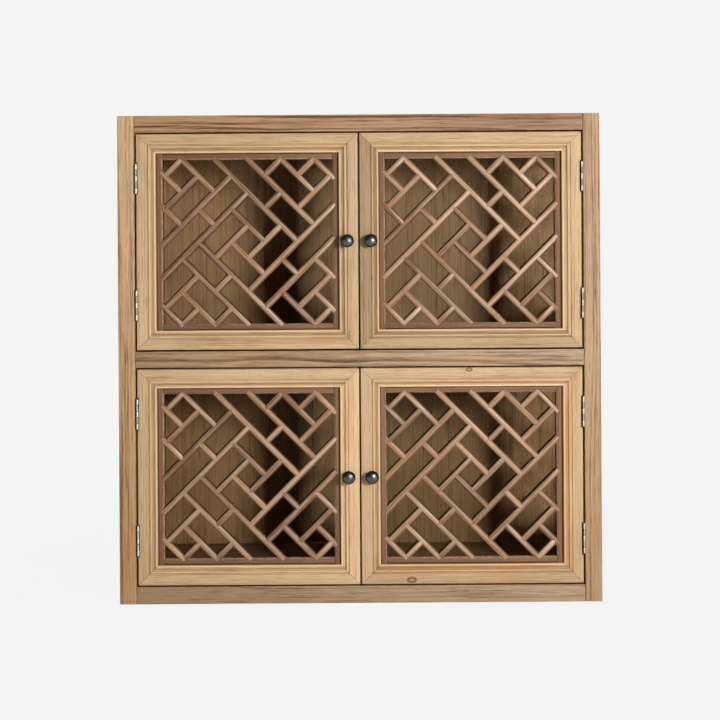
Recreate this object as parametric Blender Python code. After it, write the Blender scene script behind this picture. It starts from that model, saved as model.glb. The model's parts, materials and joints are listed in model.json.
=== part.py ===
"""Display cabinet with four fretwork doors on butt hinges.

Metres, +Z up. The doors face -Y. The origin lies on the floor, below the middle of the
overall box with the knobs counted in.
"""
import math

import bmesh
import bpy
from mathutils import Matrix, Vector

MM = 0.001

# Cabinet boards
WIDTH = 800 * MM
HEIGHT = 810 * MM
DEPTH = 350 * MM
SIDE_THICKNESS = 28 * MM
TOP_THICKNESS = 28 * MM
SHELF_THICKNESS = 27 * MM
BOTTOM_THICKNESS = 29 * MM
RAIL_DEPTH = 20 * MM
PARTITION_THICKNESS = 20 * MM
BACK_THICKNESS = 9 * MM
BACK_RABBET = 10 * MM
BACK_INSET = 2 * MM

# Clearances
SEAM = 0.3 * MM
MITRE_SEAM = 0.2 * MM
DOOR_GAP = 2.6 * MM
MEETING_GAP = 2.6 * MM
LEAF_GAP = 0.6 * MM
KNUCKLE_GAP = 0.3 * MM
PIN_CLEARANCE = 0.3 * MM
STUD_CLEARANCE = 0.3 * MM
CATCH_GAP = 1.5 * MM

# Door frames
DOOR_THICKNESS = 22 * MM
DOOR_PROUD = 2.5 * MM
MEMBER_WIDTH = 32 * MM
ARRIS = 1.0 * MM
FLAT_WIDTH = 17.2 * MM
QUIRK_WIDTH = 1.8 * MM
BEAD_RADIUS = 2.2 * MM
BEAD_DROP = 0.6 * MM
SIGHT_BEAD_RADIUS = 2.2 * MM
SIGHT_BEAD_DROP = 4.0 * MM
LIP_DEPTH = 11 * MM
REBATE_WIDTH = 7.5 * MM
ARC_STEPS = 4

# Fretwork panels
STRIP_SHOW = 10 * MM
STRIP_THICKNESS = 10 * MM
BAR_WIDTH = 9.6 * MM
BAR_DEPTH = 9 * MM
BAR_SHOULDER = 2.6 * MM
BAR_CROWN = 0.65 * MM
BAR_CROWN_WIDTH = 5.6 * MM
BAR_PROUD = 0.4 * MM
BAR_LAP = 3 * MM
BAR_SEAT = 4 * MM
PATTERN_LAP = 1.1 * MM
BACK_STEP = 0.4 * MM
PATTERN_REACH = 5

# One quarter of the fretwork, as bar ends counted in half squares from the middle
QUARTER_BARS = (
    ((-5, -4), (-4, -5)),
    ((-4, -3), (-2, -5)),
    ((-4, -1), (0, -5)),
    ((-3, 0), (2, -5)),
    ((-5, 2), (-4, 1)),
    ((-5, 4), (-4, 3)),
    ((-3, 2), (-2, 1)),
    ((-1, 0), (1, -2)),
    ((2, -3), (4, -5)),
)

# Hinges
HINGE_LENGTH = 50 * MM
HINGE_INSET = 74 * MM
KNUCKLES = 5
KNUCKLE_RADIUS = 2.4 * MM
PIN_RADIUS = 1.0 * MM
PIN_HEAD_RADIUS = 2.1 * MM
PIN_HEAD_HEIGHT = 1.4 * MM
LEAF_THICKNESS = 1.0 * MM
LEAF_WIDTH = 17 * MM
LEAF_SETBACK = 2.8 * MM
FRAME_TAB_END = 0.3 * MM
DOOR_TAB_END = 1.7 * MM
NOTCH = 3.0 * MM
NOTCH_END_GAP = 2.5 * MM
HINGE_SIDES = 8

# Knobs
KNOB_INSET = 18 * MM
KNOB_PROJECTION = 21 * MM
KNOB_RADIUS = 11 * MM
KNOB_WAIST_RADIUS = 3.8 * MM
KNOB_BASE_RADIUS = 5.5 * MM
KNOB_BASE_HEIGHT = 1.9 * MM
KNOB_COLLAR_HEIGHT = 3.5 * MM
KNOB_WAIST_HEIGHT = 6.0 * MM
KNOB_RIM_HEIGHT = 14 * MM
STUD_RADIUS = 2.0 * MM
STUD_LENGTH = 13 * MM
KNOB_SIDES = 16

# Magnetic catches
CATCH_WIDTH = 50 * MM
CATCH_DEPTH = 24 * MM
CATCH_HEIGHT = 14 * MM
CATCH_BEVEL = 1.5 * MM

WELD = 0.01 * MM
SMOOTH_ANGLE = math.radians(40)

# Places that follow from the sizes
FACE_Y = (DOOR_PROUD + KNOB_PROJECTION - DEPTH) / 2
REAR_Y = FACE_Y + DEPTH
DOOR_FRONT_Y = FACE_Y - DOOR_PROUD
DOOR_BACK_Y = DOOR_FRONT_Y + DOOR_THICKNESS
RAIL_BACK_Y = FACE_Y + RAIL_DEPTH
PANEL_FRONT_Y = RAIL_BACK_Y + SEAM
BACK_REAR_Y = REAR_Y - BACK_INSET
BACK_FRONT_Y = BACK_REAR_Y - BACK_THICKNESS
BOARD_REAR_Y = BACK_FRONT_Y - SEAM
CATCH_FRONT_Y = max(DOOR_BACK_Y + CATCH_GAP, PANEL_FRONT_Y)
PARTITION_FRONT_Y = CATCH_FRONT_Y + CATCH_DEPTH + SEAM
INNER_X = WIDTH / 2 - SIDE_THICKNESS
BOARD_X = INNER_X - SEAM
OPENING_HEIGHT = (HEIGHT - TOP_THICKNESS - SHELF_THICKNESS - BOTTOM_THICKNESS) / 2
FLOOR_Z = BOTTOM_THICKNESS
SHELF_Z = FLOOR_Z + OPENING_HEIGHT
SHELF_TOP_Z = SHELF_Z + SHELF_THICKNESS
CEILING_Z = HEIGHT - TOP_THICKNESS
HINGE_GAP = 2 * SEAM + 2 * LEAF_THICKNESS + LEAF_GAP
HINGE_X = INNER_X - HINGE_GAP
DOOR_WIDTH = HINGE_X - MEETING_GAP / 2
DOOR_HEIGHT = OPENING_HEIGHT - 2 * DOOR_GAP
HINGE_OFFSET = DOOR_HEIGHT / 2 - HINGE_INSET
COVE_WIDTH = MEMBER_WIDTH - FLAT_WIDTH - QUIRK_WIDTH - 2 * BEAD_RADIUS - 2 * SIGHT_BEAD_RADIUS
BORE_RADIUS = (PIN_RADIUS + PIN_CLEARANCE) / math.cos(math.pi / HINGE_SIDES)
KNUCKLE_PITCH = HINGE_LENGTH / KNUCKLES

# Colour, roughness and metallic value of each finish
FINISHES = {
    "carcass_pine": ((0.43, 0.26, 0.14), 0.55, 0.0),
    "door_pine": ((0.58, 0.40, 0.22), 0.5, 0.0),
    "lattice_wood": ((0.26, 0.14, 0.08), 0.5, 0.0),
    "hinge_brass": ((0.30, 0.25, 0.16), 0.35, 1.0),
    "knob_metal": ((0.10, 0.10, 0.105), 0.3, 1.0),
    "catch_plastic": ((0.16, 0.09, 0.05), 0.45, 0.0),
}


def clear_scene():
    """Start from an empty scene."""
    for old in list(bpy.data.objects):
        bpy.data.objects.remove(old, do_unlink=True)


def add_object(name, form):
    """Make an object of a closed form, faces outward."""
    bmesh.ops.recalc_face_normals(form, faces=form.faces)
    mesh = bpy.data.meshes.new(name)
    form.to_mesh(mesh)
    form.free()
    piece = bpy.data.objects.new(name, mesh)
    bpy.context.scene.collection.objects.link(piece)
    return piece


def add_box(name, low, high):
    """A board between two opposite corners."""
    low = Vector(low)
    high = Vector(high)
    form = bmesh.new()
    size = Matrix.Diagonal((*(high - low), 1))
    bmesh.ops.create_cube(form, size=1, matrix=Matrix.Translation((low + high) / 2) @ size)
    return add_object(name, form)


def extrude_outline(form, outline, path):
    """Extrude a flat outline along a path and close both ends."""
    face = form.faces.new([form.verts.new(point) for point in outline])
    grown = bmesh.ops.extrude_face_region(form, geom=[face])
    far = [part for part in grown["geom"] if isinstance(part, bmesh.types.BMVert)]
    bmesh.ops.translate(form, verts=far, vec=path)


def add_prism(name, outline, path):
    """A straight piece of one section."""
    form = bmesh.new()
    extrude_outline(form, outline, path)
    return add_object(name, form)


def spin_profile(form, profile, sides, closed):
    """Turn a profile of radius and height once round the Z axis."""
    points = [form.verts.new((radius, 0, height)) for radius, height in profile]
    edges = [form.edges.new(pair) for pair in zip(points, points[1:])]
    if closed:
        edges.append(form.edges.new((points[-1], points[0])))
    bmesh.ops.spin(form, geom=points + edges, cent=(0, 0, 0), axis=(0, 0, 1),
                   angle=2 * math.pi, steps=sides, use_merge=True)
    bmesh.ops.remove_doubles(form, verts=form.verts, dist=WELD)


def combine(piece, tool, operation):
    """Join a tool to a piece or cut it out, then drop the tool."""
    step = piece.modifiers.new(operation.lower(), "BOOLEAN")
    step.operation = operation
    step.solver = "EXACT"
    step.object = tool
    bpy.context.view_layer.objects.active = piece
    bpy.ops.object.modifier_apply(modifier=step.name)
    bpy.data.objects.remove(tool, do_unlink=True)


def finish(piece, slot):
    """Give a piece its own material of a finish."""
    colour, roughness, metallic = FINISHES[slot]
    material = bpy.data.materials.new(f"{piece.name}_{slot}")
    material.use_nodes = True
    shader = material.node_tree.nodes["Principled BSDF"]
    shader.inputs["Base Color"].default_value = (*colour, 1)
    shader.inputs["Roughness"].default_value = roughness
    shader.inputs["Metallic"].default_value = metallic
    material.diffuse_color = (*colour, 1)
    piece.data.materials.clear()
    piece.data.materials.append(material)
    return piece


def smooth(piece):
    """Shade a round piece smooth, its arrises sharp."""
    piece.data.shade_smooth()
    piece.data.set_sharp_from_angle(angle=SMOOTH_ANGLE)
    return piece


def place_copy(pattern, name, parent, location, slot):
    """Place a named copy of a pattern piece with a mesh of its own."""
    piece = bpy.data.objects.new(name, pattern.data.copy())
    bpy.context.scene.collection.objects.link(piece)
    piece.parent = parent
    piece.location = location
    return finish(piece, slot)


def drop(patterns):
    """Remove the pattern pieces once their copies are placed."""
    for pattern in patterns:
        bpy.data.objects.remove(pattern, do_unlink=True)


def arc(centre, radius, start, end, steps):
    """Points of an arc inside its ends, angles in degrees from the inward direction."""
    points = []
    for step in range(1, steps):
        angle = math.radians(start + (end - start) * step / steps)
        points.append((centre[0] + radius[0] * math.cos(angle), centre[1] - radius[1] * math.sin(angle)))
    return points


def member_section():
    """Section of a door member: distance from its outer edge, depth from its front."""
    bead_start = FLAT_WIDTH + QUIRK_WIDTH
    bead_end = bead_start + 2 * BEAD_RADIUS
    bead_depth = BEAD_DROP + BEAD_RADIUS
    sight_start = bead_end + COVE_WIDTH
    sight_depth = SIGHT_BEAD_DROP + SIGHT_BEAD_RADIUS
    rebate = MEMBER_WIDTH - REBATE_WIDTH
    bead = arc((bead_start + BEAD_RADIUS, bead_depth), (BEAD_RADIUS, BEAD_RADIUS), 180, 0, ARC_STEPS)
    cove_size = (COVE_WIDTH, sight_depth - bead_depth)
    cove = arc((sight_start, bead_depth), cove_size, 180, 270, ARC_STEPS)
    sight_size = (SIGHT_BEAD_RADIUS, SIGHT_BEAD_RADIUS)
    sight_bead = arc((sight_start + SIGHT_BEAD_RADIUS, sight_depth), sight_size, 180, 0, ARC_STEPS)
    return (
        [(0, ARRIS), (ARRIS, 0), (FLAT_WIDTH, 0), (FLAT_WIDTH, bead_depth), (bead_start, bead_depth)]
        + bead + [(bead_end, bead_depth)]
        + cove + [(sight_start, sight_depth)]
        + sight_bead + [(MEMBER_WIDTH, sight_depth)]
        + [(MEMBER_WIDTH, LIP_DEPTH), (rebate, LIP_DEPTH), (rebate, DOOR_THICKNESS), (0, DOOR_THICKNESS)]
    )


def add_member(name, start, end, inward):
    """A mitred door member whose outer edge runs from start to end, both as x and z."""
    start = Vector((start[0], 0, start[1]))
    end = Vector((end[0], 0, end[1]))
    inward = Vector((inward[0], 0, inward[1]))
    back = Vector((0, 1, 0))
    along = (end - start).normalized()
    section = member_section()
    form = bmesh.new()
    outline = [start + inward * u + along * (u + MITRE_SEAM) + back * v for u, v in section]
    extrude_outline(form, outline, (0, 0, 0))
    form.verts.index_update()
    for vert, (u, v) in zip(list(form.verts)[len(section):], section):
        vert.co = end + inward * u - along * (u + MITRE_SEAM) + back * v
    return add_object(name, form)


def quarter_turn(point):
    """A fretwork point turned a quarter about the middle."""
    return (point[1], -point[0])


def fretwork_bars():
    """Every bar of the pattern, falling ones first and then rising ones."""
    falling = list(QUARTER_BARS)
    rising = [tuple(quarter_turn(point) for point in bar) for bar in falling]
    falling += [tuple(quarter_turn(point) for point in bar) for bar in rising]
    rising += [tuple(quarter_turn(quarter_turn(point)) for point in bar) for bar in rising]
    return falling, rising


def on_border(point):
    """Whether a fretwork point lies on the pattern's edge."""
    return max(abs(point[0]), abs(point[1])) == PATTERN_REACH


def bar_end(point, direction, unit, half_opening, taken):
    """Where a bar stops: lapped onto the border strip, or seated in the bar it meets."""
    place = Vector((point[0] * unit, 0, point[1] * unit))
    if not on_border(point):
        return place - direction * (BAR_WIDTH / 2 - BAR_SEAT)
    if point in taken:
        return place
    axis = 0 if abs(point[0]) == PATTERN_REACH else 2
    limit = half_opening[0] if axis == 0 else half_opening[1]
    return place + direction * ((limit + BAR_LAP - abs(place[axis])) / abs(direction[axis]))


def add_bars(name, bars, unit, half_opening, taken, front, back):
    """All bars of one direction, rounded in front."""
    form = bmesh.new()
    half = BAR_WIDTH / 2
    section = (
        (-half, back), (-half, front + BAR_SHOULDER), (-BAR_CROWN_WIDTH / 2, front + BAR_CROWN), (0, front),
        (BAR_CROWN_WIDTH / 2, front + BAR_CROWN), (half, front + BAR_SHOULDER), (half, back),
    )
    for start, end in bars:
        direction = Vector((end[0] - start[0], 0, end[1] - start[1])).normalized()
        first = bar_end(start, -direction, unit, half_opening, taken)
        last = bar_end(end, direction, unit, half_opening, taken)
        across = Vector((-direction.z, 0, direction.x))
        outline = [first + across * w + Vector((0, depth, 0)) for w, depth in section]
        extrude_outline(form, outline, last - first)
    return add_object(name, form)


def add_lattice():
    """Fretwork panel about the middle of a door, depth measured from the door's front."""
    half_sight = (DOOR_WIDTH / 2 - MEMBER_WIDTH, DOOR_HEIGHT / 2 - MEMBER_WIDTH)
    half_opening = [reach - STRIP_SHOW for reach in half_sight]
    half_outer = [reach + REBATE_WIDTH - SEAM for reach in half_sight]
    strip_front = LIP_DEPTH + SEAM
    strip_back = strip_front + STRIP_THICKNESS
    lattice = add_box("lattice", (-half_outer[0], strip_front, -half_outer[1]),
                      (half_outer[0], strip_back, half_outer[1]))
    window = add_box("window", (-half_opening[0], strip_front - SEAM, -half_opening[1]),
                     (half_opening[0], strip_back + SEAM, half_opening[1]))
    combine(lattice, window, "DIFFERENCE")
    unit = (half_opening[1] + PATTERN_LAP) / PATTERN_REACH
    bar_front = strip_front - BAR_PROUD
    bar_back = bar_front + BAR_DEPTH
    falling, rising = fretwork_bars()
    border_ends = {point for bar in falling for point in bar if on_border(point)}
    combine(lattice, add_bars("falling_bars", falling, unit, half_opening, set(), bar_front, bar_back), "UNION")
    rising_back = bar_back - BACK_STEP
    rising_bars = add_bars("rising_bars", rising, unit, half_opening, border_ends, bar_front, rising_back)
    combine(lattice, rising_bars, "UNION")
    return lattice


def add_leaf(name, offset, side, tab_end, first_knuckle):
    """Hinge leaf about the hinge axis: a plate beside the axis and every second knuckle."""
    half = HINGE_LENGTH / 2
    rear = LEAF_SETBACK + LEAF_WIDTH
    spans = []
    outline = [(rear, -half), (LEAF_SETBACK, -half)]
    for index in range(first_knuckle, KNUCKLES, 2):
        low = -half + index * KNUCKLE_PITCH + KNUCKLE_GAP / 2
        high = low + KNUCKLE_PITCH - KNUCKLE_GAP
        spans.append((low, high))
        outline += [(LEAF_SETBACK, low), (tab_end, low), (tab_end, high), (LEAF_SETBACK, high)]
    outline += [(LEAF_SETBACK, half), (rear, half)]
    points = [(offset * side, y, z) for y, z in outline]
    leaf = add_prism(name, points, (LEAF_THICKNESS * side, 0, 0))
    rings = bmesh.new()
    for low, high in spans:
        knuckle = ((BORE_RADIUS, low), (KNUCKLE_RADIUS, low), (KNUCKLE_RADIUS, high), (BORE_RADIUS, high))
        spin_profile(rings, knuckle, HINGE_SIDES, True)
    combine(leaf, add_object("knuckles", rings), "UNION")
    return smooth(leaf)


def add_pin():
    """Hinge pin with a tapered head at each end."""
    reach = HINGE_LENGTH / 2 + KNUCKLE_GAP
    tip = reach + PIN_HEAD_HEIGHT
    profile = (
        (0, tip), (PIN_HEAD_RADIUS, reach), (PIN_RADIUS, reach),
        (PIN_RADIUS, -reach), (PIN_HEAD_RADIUS, -reach), (0, -tip),
    )
    form = bmesh.new()
    spin_profile(form, profile, HINGE_SIDES, False)
    return smooth(add_object("pin", form))


def add_knob():
    """Turned knob along the Z axis, its stud below and its dome on top."""
    dome_height = KNOB_PROJECTION - KNOB_RIM_HEIGHT
    flare_height = KNOB_RIM_HEIGHT - KNOB_WAIST_HEIGHT
    flare_width = KNOB_RADIUS - KNOB_WAIST_RADIUS
    dome = arc((0, KNOB_RIM_HEIGHT), (KNOB_RADIUS, -dome_height), 90, 0, ARC_STEPS)
    flare = arc((KNOB_WAIST_RADIUS, KNOB_RIM_HEIGHT), (flare_width, flare_height), 0, 90, ARC_STEPS)
    profile = (
        [(0, KNOB_PROJECTION)] + dome + [(KNOB_RADIUS, KNOB_RIM_HEIGHT)] + flare
        + [(KNOB_WAIST_RADIUS, KNOB_WAIST_HEIGHT), (KNOB_WAIST_RADIUS, KNOB_COLLAR_HEIGHT)]
        + [(KNOB_BASE_RADIUS, KNOB_BASE_HEIGHT), (KNOB_BASE_RADIUS, SEAM)]
        + [(STUD_RADIUS, SEAM), (STUD_RADIUS, -STUD_LENGTH), (0, -STUD_LENGTH)]
    )
    form = bmesh.new()
    spin_profile(form, profile, KNOB_SIDES, False)
    return smooth(add_object("knob", form))


def add_carcass():
    """Side boards, rails, panels, shelf, partition and back."""
    rabbet_x = INNER_X + BACK_RABBET
    for name, side in (("left_side", -1), ("right_side", 1)):
        ends = sorted((side * WIDTH / 2, side * INNER_X))
        board = add_box(name, (ends[0], FACE_Y, 0), (ends[1], REAR_Y, HEIGHT))
        rabbet = add_box("rabbet", (-rabbet_x, BOARD_REAR_Y, FLOOR_Z), (rabbet_x, REAR_Y + SEAM, CEILING_Z))
        combine(board, rabbet, "DIFFERENCE")
        finish(board, "carcass_pine")
    for name, low, high in (("top_panel", CEILING_Z, HEIGHT), ("bottom_panel", 0, FLOOR_Z)):
        panel = add_box(name, (-BOARD_X, PANEL_FRONT_Y, low), (BOARD_X, REAR_Y, high))
        finish(panel, "carcass_pine")
    rails = {
        "top_rail": (CEILING_Z, HEIGHT),
        "middle_rail": (SHELF_Z, SHELF_TOP_Z),
        "bottom_rail": (0, FLOOR_Z),
    }
    for name, (low, high) in rails.items():
        rail = add_box(name, (-BOARD_X, FACE_Y, low), (BOARD_X, RAIL_BACK_Y, high))
        finish(rail, "carcass_pine")
    add_crossed_boards()
    back_x = rabbet_x - SEAM
    low = (-back_x, BACK_FRONT_Y, FLOOR_Z + SEAM)
    high = (back_x, BACK_REAR_Y, CEILING_Z - SEAM)
    finish(add_box("back_panel", low, high), "carcass_pine")


def add_crossed_boards():
    """Shelf and partition, halved over each other at mid depth."""
    middle_y = (PARTITION_FRONT_Y + BOARD_REAR_Y) / 2
    slot_x = PARTITION_THICKNESS / 2 + SEAM
    shelf_outline = [
        (-BOARD_X, PANEL_FRONT_Y), (BOARD_X, PANEL_FRONT_Y), (BOARD_X, BOARD_REAR_Y),
        (slot_x, BOARD_REAR_Y), (slot_x, middle_y), (-slot_x, middle_y),
        (-slot_x, BOARD_REAR_Y), (-BOARD_X, BOARD_REAR_Y),
    ]
    shelf = add_prism("shelf", [(x, y, SHELF_Z) for x, y in shelf_outline], (0, 0, SHELF_THICKNESS))
    finish(shelf, "carcass_pine")
    foot = FLOOR_Z + SEAM
    head = CEILING_Z - SEAM
    slot_low = SHELF_Z - SEAM
    slot_high = SHELF_TOP_Z + SEAM
    slot_end = middle_y + SEAM
    partition_outline = [
        (PARTITION_FRONT_Y, foot), (BOARD_REAR_Y, foot), (BOARD_REAR_Y, head), (PARTITION_FRONT_Y, head),
        (PARTITION_FRONT_Y, slot_high), (slot_end, slot_high), (slot_end, slot_low),
        (PARTITION_FRONT_Y, slot_low),
    ]
    points = [(-PARTITION_THICKNESS / 2, y, z) for y, z in partition_outline]
    finish(add_prism("partition", points, (PARTITION_THICKNESS, 0, 0)), "carcass_pine")


def add_catches():
    """Double magnetic catches under the top and under the shelf, ahead of the partition."""
    for name, ceiling in (("upper_catch", CEILING_Z), ("lower_catch", SHELF_Z)):
        top = ceiling - SEAM
        low = (-CATCH_WIDTH / 2, CATCH_FRONT_Y, top - CATCH_HEIGHT)
        high = (CATCH_WIDTH / 2, CATCH_FRONT_Y + CATCH_DEPTH, top)
        catch = add_box(name, low, high)
        edge = catch.modifiers.new("rounded", "BEVEL")
        edge.width = CATCH_BEVEL
        edge.segments = 1
        finish(catch, "catch_plastic")


def add_door_patterns(side):
    """Frame members of a door, measured from its hinge axis at its front outer corner."""
    half = DOOR_HEIGHT / 2
    far = side * DOOR_WIDTH
    members = {
        "hinge_stile": add_member("hinge_stile_pattern", (0, -half), (0, half), (side, 0)),
        "meeting_stile": add_member("meeting_stile_pattern", (far, -half), (far, half), (-side, 0)),
        "top_rail": add_member("top_rail_pattern", (0, half), (far, half), (0, -1)),
        "bottom_rail": add_member("bottom_rail_pattern", (0, -half), (far, -half), (0, 1)),
    }
    notch_reach = HINGE_LENGTH / 2 + NOTCH_END_GAP
    for middle in (HINGE_OFFSET, -HINGE_OFFSET):
        notch = add_box("notch", (-NOTCH, -NOTCH, middle - notch_reach), (NOTCH, NOTCH, middle + notch_reach))
        combine(members["hinge_stile"], notch, "DIFFERENCE")
    bore_radius = (STUD_RADIUS + STUD_CLEARANCE) / math.cos(math.pi / KNOB_SIDES)
    bore_depth = STUD_LENGTH + STUD_CLEARANCE
    form = bmesh.new()
    turn = Matrix.Rotation(math.pi / 2, 4, "X")
    place = Matrix.Translation((far - side * KNOB_INSET, 0, 0))
    bmesh.ops.create_cone(form, cap_ends=True, segments=KNOB_SIDES, radius1=bore_radius, radius2=bore_radius,
                          depth=2 * bore_depth, matrix=place @ turn)
    combine(members["meeting_stile"], add_object("bore", form), "DIFFERENCE")
    return members


def add_doors():
    """Four doors, each on an empty at its hinge axis, with their hinges."""
    lattice = add_lattice()
    pin = add_pin()
    knob = add_knob()
    rows = {"upper": (SHELF_TOP_Z + CEILING_Z) / 2, "lower": (FLOOR_Z + SHELF_Z) / 2}
    for hand, side in (("left", 1), ("right", -1)):
        members = add_door_patterns(side)
        frame_leaf = add_leaf("frame_leaf", SEAM - HINGE_GAP, side, FRAME_TAB_END, 0)
        door_leaf = add_leaf("door_leaf", -SEAM - LEAF_THICKNESS, side, DOOR_TAB_END, 1)
        for row, middle in rows.items():
            door = f"{row}_{hand}"
            axis = bpy.data.objects.new(f"{door}_axis", None)
            axis.location = (-side * HINGE_X, DOOR_FRONT_Y, middle)
            bpy.context.scene.collection.objects.link(axis)
            for part, pattern in members.items():
                place_copy(pattern, f"{door}_door_{part}", axis, (0, 0, 0), "door_pine")
            place_copy(lattice, f"{door}_door_lattice", axis, (side * DOOR_WIDTH / 2, 0, 0), "lattice_wood")
            knob_x = side * (DOOR_WIDTH - KNOB_INSET)
            knob_copy = place_copy(knob, f"{door}_door_knob", axis, (knob_x, 0, 0), "knob_metal")
            knob_copy.rotation_euler = (math.pi / 2, 0, 0)
            for level, height in (("upper", HINGE_OFFSET), ("lower", -HINGE_OFFSET)):
                place_copy(door_leaf, f"{door}_door_{level}_leaf", axis, (0, 0, height), "hinge_brass")
                root = (-side * HINGE_X, DOOR_FRONT_Y, middle + height)
                place_copy(frame_leaf, f"{door}_frame_{level}_leaf", None, root, "hinge_brass")
                place_copy(pin, f"{door}_{level}_pin", None, root, "hinge_brass")
        drop([*members.values(), frame_leaf, door_leaf])
    drop([lattice, pin, knob])


clear_scene()
add_carcass()
add_catches()
add_doors()
bpy.context.view_layer.update()
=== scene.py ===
"""Looks of a pine display cabinet with four fretwork doors, laid out as an add-on.

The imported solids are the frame. Boards and door members are eased copies of them; the fretwork, hinges,
knobs, catches and nails are modelled here with Blender's own operators, and every finish is a node material.
"""
import json
import math
from collections import namedtuple

import bmesh
import bpy
from bpy.props import FloatProperty, FloatVectorProperty, IntProperty, PointerProperty
from mathutils import Matrix, Vector


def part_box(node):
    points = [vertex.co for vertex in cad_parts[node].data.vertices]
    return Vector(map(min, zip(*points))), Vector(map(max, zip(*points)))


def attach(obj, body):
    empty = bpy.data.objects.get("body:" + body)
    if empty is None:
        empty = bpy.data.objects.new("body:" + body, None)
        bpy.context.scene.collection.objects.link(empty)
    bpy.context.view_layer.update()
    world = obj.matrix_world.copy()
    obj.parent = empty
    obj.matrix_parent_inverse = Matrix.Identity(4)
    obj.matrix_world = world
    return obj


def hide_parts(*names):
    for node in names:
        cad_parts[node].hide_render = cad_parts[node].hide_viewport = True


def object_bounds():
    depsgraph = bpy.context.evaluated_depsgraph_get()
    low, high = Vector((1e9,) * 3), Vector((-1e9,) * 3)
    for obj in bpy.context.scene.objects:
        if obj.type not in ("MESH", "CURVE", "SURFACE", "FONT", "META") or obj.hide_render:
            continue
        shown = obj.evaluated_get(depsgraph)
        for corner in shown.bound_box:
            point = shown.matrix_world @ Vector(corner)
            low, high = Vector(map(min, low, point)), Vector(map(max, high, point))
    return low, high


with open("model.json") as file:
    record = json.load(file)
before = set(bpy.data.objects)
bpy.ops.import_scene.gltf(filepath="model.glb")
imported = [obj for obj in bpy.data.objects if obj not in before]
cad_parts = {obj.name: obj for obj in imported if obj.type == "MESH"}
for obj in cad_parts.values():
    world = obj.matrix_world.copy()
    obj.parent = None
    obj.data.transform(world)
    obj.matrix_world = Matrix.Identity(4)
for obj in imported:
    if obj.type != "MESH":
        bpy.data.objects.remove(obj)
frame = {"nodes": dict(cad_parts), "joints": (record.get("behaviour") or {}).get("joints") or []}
cad_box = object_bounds()

bl_info = {
    "name": "Fretwork Cabinet",
    "version": (1, 0, 0),
    "blender": (4, 5, 0),
    "location": "3D View > Sidebar > Cabinet",
    "description": "Dresses a pine cabinet with fretwork doors: timber, hinges, knobs, catches and stage",
    "category": "Object",
}

MM = 0.001
MERGE = 0.005 * MM
FLAT_ANGLE = math.radians(1)
SMOOTH_ANGLE = math.radians(35)
ROOT_HALF = math.sqrt(0.5)
AXES = "XYZ"
WHITE = (1, 1, 1)

# Hinges are modelled for a door hung on the left, 1, and mirrored for one hung on the right, -1
HANDS = {"left": 1, "right": -1}
LEVELS = ("upper", "lower")
DOORS = tuple(f"{row}_{hand}" for row in LEVELS for hand in HANDS)
MEMBERS = ("hinge_stile", "meeting_stile", "top_rail", "bottom_rail")

# One quarter of the fretwork, as bar ends counted in half squares from the middle
PATTERN_REACH = 5
QUARTER_BARS = (
    ((-5, -4), (-4, -5)),
    ((-4, -3), (-2, -5)),
    ((-4, -1), (0, -5)),
    ((-3, 0), (2, -5)),
    ((-5, 2), (-4, 1)),
    ((-5, 4), (-4, 3)),
    ((-3, 2), (-2, 1)),
    ((-1, 0), (1, -2)),
    ((2, -3), (4, -5)),
)

# Painted shade with old stain in the door moulding's quirks, and painted highlight with wear on its beads:
# distance from the outer edge, half width and depth
QUIRK_STAIN_AND_SHADE = ((18.1 * MM, 1.1 * MM, 0.28), (25.8 * MM, 1.6 * MM, 0.9))
BEAD_WEAR_AND_HIGHLIGHT = ((21.6 * MM, 1.9 * MM, 0.35), (29.9 * MM, 2.0 * MM, 0.8))
# Stiles whose moulding looks left keep little of that painted shade, and get painted light in the quirks by
# the third number
LEFT_FACING_SHADE_SHARE = 0.15
LEFT_FACING_QUIRK_LIGHT = ((17.8 * MM, 2.0 * MM, 0.34), (24.2 * MM, 1.9 * MM, 0.26))
# Lines and bands by their distance, where each starts to fade and where it ends
MITRE_LINE = (0.1 * MM, 0.65 * MM)
# Painted shadow on a rail's top face under a door
GAP_SHADOW = (0.2 * MM, 0.7 * MM)
# A strip's pale inner edge, rubbed and painted as a highlight, and the painted shadow of the moulding on it
STRIP_RUB_AND_HIGHLIGHT = (0.8 * MM, 2.4 * MM)
STRIP_SHADOW = (7.8 * MM, 9.4 * MM)
# A bar's pale crest, worn and painted as a highlight, and the painted shade on its flanks
BAR_CREST_WEAR_AND_HIGHLIGHT = (0.0, 0.9 * MM)
BAR_FLANK_SHADE = (1.1 * MM, 3.0 * MM)
# Tints of the darkest and the lightest bar, and how far a face leans up and left to get painted shade
BAR_TINTS = ((0.56, 0.45, 0.35), (1.17, 1.13, 1.04))
SHADE_LEAN = 0.45

# Clouds in the wood: scale along the fibres and across them, detail, roughness, and the values between
# which a cloud comes to show
Cloud = namedtuple("Cloud", "along across detail rough start end", defaults=(0.5, 0.0, 1.0))
SWAY = Cloud(3.2, 9, 2.0)
DRIFT = Cloud(2.1, 7, 1.0)
FIBRE = Cloud(24, 560, 3.0, 0.65)
SHADOW = Cloud(5, 26, 3.0, 0.6)
FLECK = Cloud(24, 380, 2.0, 0.6, 0.56, 0.66)
LINE = Cloud(3.2, 230, 3.0, 0.6, 0.49, 0.67)
GREY = Cloud(7, 40, 2.0, 0.5, 0.52, 0.75)
RESIN = Cloud(4, 30, 2.0, 0.5, 0.66, 0.86)
CREST_WEAR_AND_SHEEN = Cloud(16, 380, 3.0, 0.6, 0.36, 0.66)
RESIN_SHIFT = 9.0
# Shares of the clouds in the dark wood, with the difference from stave to stave
FIBRE_SHARE = 1.3
FLECK_SHARE = 0.3
STAVE_SHARE = 0.14
# Where in a ring the late wood rises and falls, and how its weight differs from ring to ring
LATE_RISE = (0.2, 0.88)
LATE_FALL = (0.92, 1.0)
RING_CONTRAST = 1.6
RING_LEAST = 0.15
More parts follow.
